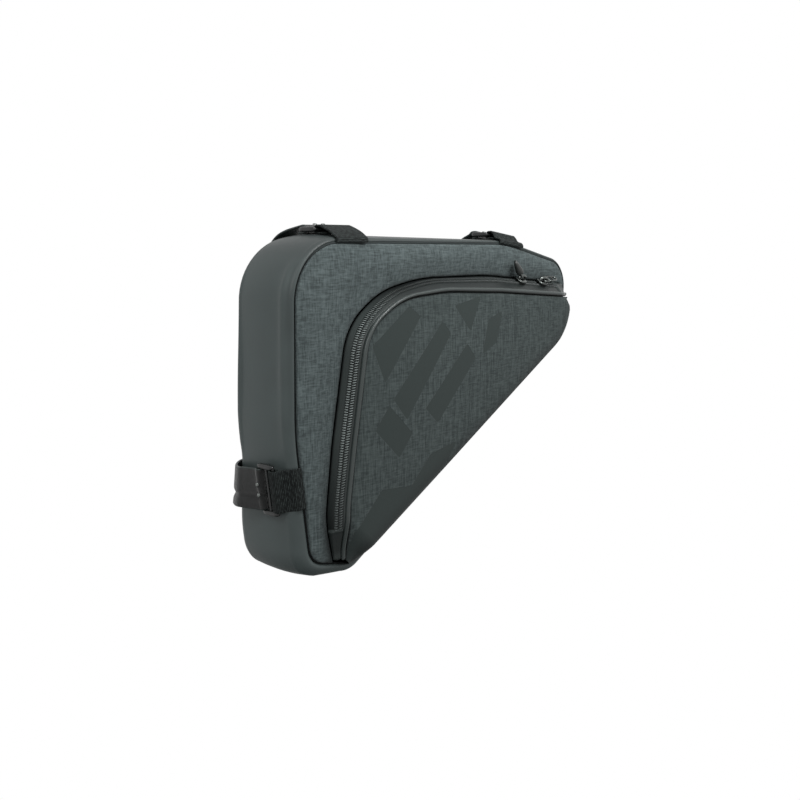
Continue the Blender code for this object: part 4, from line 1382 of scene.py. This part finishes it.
def build_strap(name, at, shape, fold=None, drift=0.0):
    """Webbing from the near seam, the buckle, and the coated end sewn on the far side."""
    strap = StrapFrame(at)
    wrap_reach = WRAP_RADIUS + max(WEB_THICK, TAIL_THICK) / 2
    near_bar = Vector((shape.bar_across * strap.half,
                       strap.edge + strap.crown + shape.lift + wrap_reach))
    far_bar = near_bar + Vector((-2 * BAR_PITCH, 0.0))
    lay = SEW_GAP + WEB_THICK / 2
    foot = [Vector((strap.half + lay, SEW_GAP))]
    bend = Vector((strap.half - strap.edge, 0.0))
    for angle in (math.radians(35), math.radians(65)):
        foot.append(bend + Vector((math.cos(angle), math.sin(angle))) * (strap.edge + lay + SEW_GAP))
    over = Vector((0.0, WRAP_RADIUS))
    ease = Vector((LEAD_RUN, -LEAD_DROP))
    lead = curve_through(foot + strap.knots(shape.web) + [near_bar + over + ease, near_bar + over])
    web = lead[:-1] + wrap(near_bar, Vector((-1.0, 0.0)), Vector((1.0, 0.0)), shape.web_fold)
    ribbon(f"{name}_webbing", strap, web, WEB_THICK, FINISH["webbing"], f"{name}_web")
    build_buckle(f"{name}_buckle", strap, near_bar)
    rest = -(strap.half + SEW_GAP + TAIL_THICK / 2)
    low = strap.knots(shape.tail)[-1].y
    end = [Vector((rest, low - drop)) for drop in TAIL_SEWN]
    ease = Vector((-LEAD_RUN, -LEAD_DROP))
    trail = curve_through([far_bar + over, far_bar + over + ease] + strap.knots(shape.tail) + end)
    trail = [Vector((min(p.x, rest), p.y)) if p.y < 0 else p for p in trail]
    folded = wrap(far_bar, Vector((1.0, 0.0)), Vector((-1.0, 0.0)), shape.tail_fold)
    tail = folded[::-1] + trail[1:]
    ribbon(f"{name}_coated", strap, tail, TAIL_THICK, FINISH["strap"],
           f"{name}_tail", FINISH["fleece"], fold, drift)
    spot = far_bar + Vector((-RIVET_INSET, WRAP_RADIUS + TAIL_THICK / 2 + SEW_GAP))
    for label, side in (("a", -RIVET_SPACING / 2), ("b", RIVET_SPACING / 2)):
        build_rivet(f"{name}_rivet_{label}", strap, spot, side)


def seam_station(along=None, down=None):
    """The gusset's seam station at a length along the top, or down the end."""
    stations = rounded_path(SEAM, closed=True)
    for a, b in zip(stations[-1:] + stations, stations):
        if along is not None and a.out_up > 0.5 and a.along <= along <= b.along:
            share = (along - a.along) / (b.along - a.along)
        elif down is not None and a.out_along < -0.5 and a.up <= -down <= b.up:
            share = (-down - a.up) / (b.up - a.up)
        else:
            continue
        return Station(*(x + (y - x) * share for x, y in zip(a, b)))


# Light and camera

def area_light(name, spot, target, size, power):
    lamp = bpy.data.lights.new(name, "AREA")
    lamp.shape = "RECTANGLE"
    lamp.size, lamp.size_y = size
    lamp.energy = power
    thing = bpy.data.objects.new(name, lamp)
    bpy.context.collection.objects.link(thing)
    thing.location = spot
    thing.rotation_euler = (Vector(target) - Vector(spot)).to_track_quat("-Z", "Y").to_euler()


def build_camera(scene):
    scene.render.resolution_x = PICTURE_PIXELS
    scene.render.resolution_y = PICTURE_PIXELS
    scene.view_settings.view_transform = "Standard"
    camera = bpy.data.cameras.new("camera")
    camera.sensor_width = SENSOR_WIDTH
    camera.lens = FOCAL_PIXELS / PICTURE_PIXELS * SENSOR_WIDTH
    holder = bpy.data.objects.new("camera", camera)
    bpy.context.collection.objects.link(holder)
    heading, pitch = math.radians(CAMERA_HEADING), math.radians(CAMERA_PITCH)
    look = Vector((math.sin(heading) * math.cos(pitch), math.cos(heading) * math.cos(pitch),
                   -math.sin(pitch)))
    holder.location = CAMERA_SPOT
    holder.rotation_euler = look.to_track_quat("-Z", "Y").to_euler()
    scene.camera = holder


def build_world(scene):
    """A white world that gives little light from below, and is white behind the bag all round."""
    world = bpy.data.worlds.new("studio")
    world.use_nodes = True
    nodes = Nodes(world.node_tree)
    up = nodes.add("SeparateXYZ", {0: nodes.add("TexCoord", {})}, 2)
    fade = nodes.span(up, -0.90, -0.30, 0.08, 1.0, interpolation_type="SMOOTHSTEP")
    seen = nodes.add("LightPath", {}, "Is Camera Ray")
    back = world.node_tree.nodes["Background"].inputs
    nodes.plug(back["Strength"], nodes.math("MAXIMUM", fade, seen))
    nodes.plug(back["Color"], (1.0, 1.0, 1.0))
    scene.world = world


build_camera(bpy.context.scene)
build_world(bpy.context.scene)
area_light("key", (0.06, -0.34, 0.30), (0.03, 0.0, -0.01), (0.30, 0.12), 3.2)
area_light("end", (-0.62, -0.22, 0.34), (-0.15, 0.0, -0.06), (0.20, 0.20), 1.7)
area_light("top", (0.0, -0.1, 1.1), (0.0, 0.0, -0.1), (0.9, 0.9), 1.5)

build_gusset()
build_seam_shadows()
build_far_panel()
build_side_band()
rim = PocketRim()
build_zip_tape(rim)
build_teeth(rim)
build_stop(rim, "zip_stop_low", STOP_LENGTH, False)
build_stop(rim, "zip_stop_tip", STOP_TIP_LENGTH, True)
build_piping(rim)
build_front_panel(rim)
zip_end = CREASE[-1].along * LENGTH
build_slider(rim, "rear", zip_end - REAR_SLIDER_BACK, REAR_PULL_ANGLE, REAR_PULL_YAW)
build_slider(rim, "front", zip_end - FRONT_SLIDER_BACK, FRONT_PULL_ANGLE, FRONT_PULL_YAW)
build_strap("strap_rear", seam_station(along=REAR_STRAP_ALONG),
            StrapShape(TOP_WEB, REAR_TAIL, TOP_BAR_ACROSS, TOP_BUCKLE_LIFT, LONG_FOLD, LONG_FOLD))
build_strap("strap_front", seam_station(along=FRONT_STRAP_ALONG),
            StrapShape(TOP_WEB, FRONT_TAIL, TOP_BAR_ACROSS, TOP_BUCKLE_LIFT, LONG_FOLD, SHORT_FOLD))
build_strap("strap_end", seam_station(down=END_STRAP_DOWN),
            StrapShape(END_WEB, END_TAIL, END_BAR_ACROSS, END_BUCKLE_LIFT, SHORT_FOLD, LONG_FOLD),
            fold=Fold(-0.0045, 0.0014, 0.0022, 0.02, 0.75), drift=-0.0040)
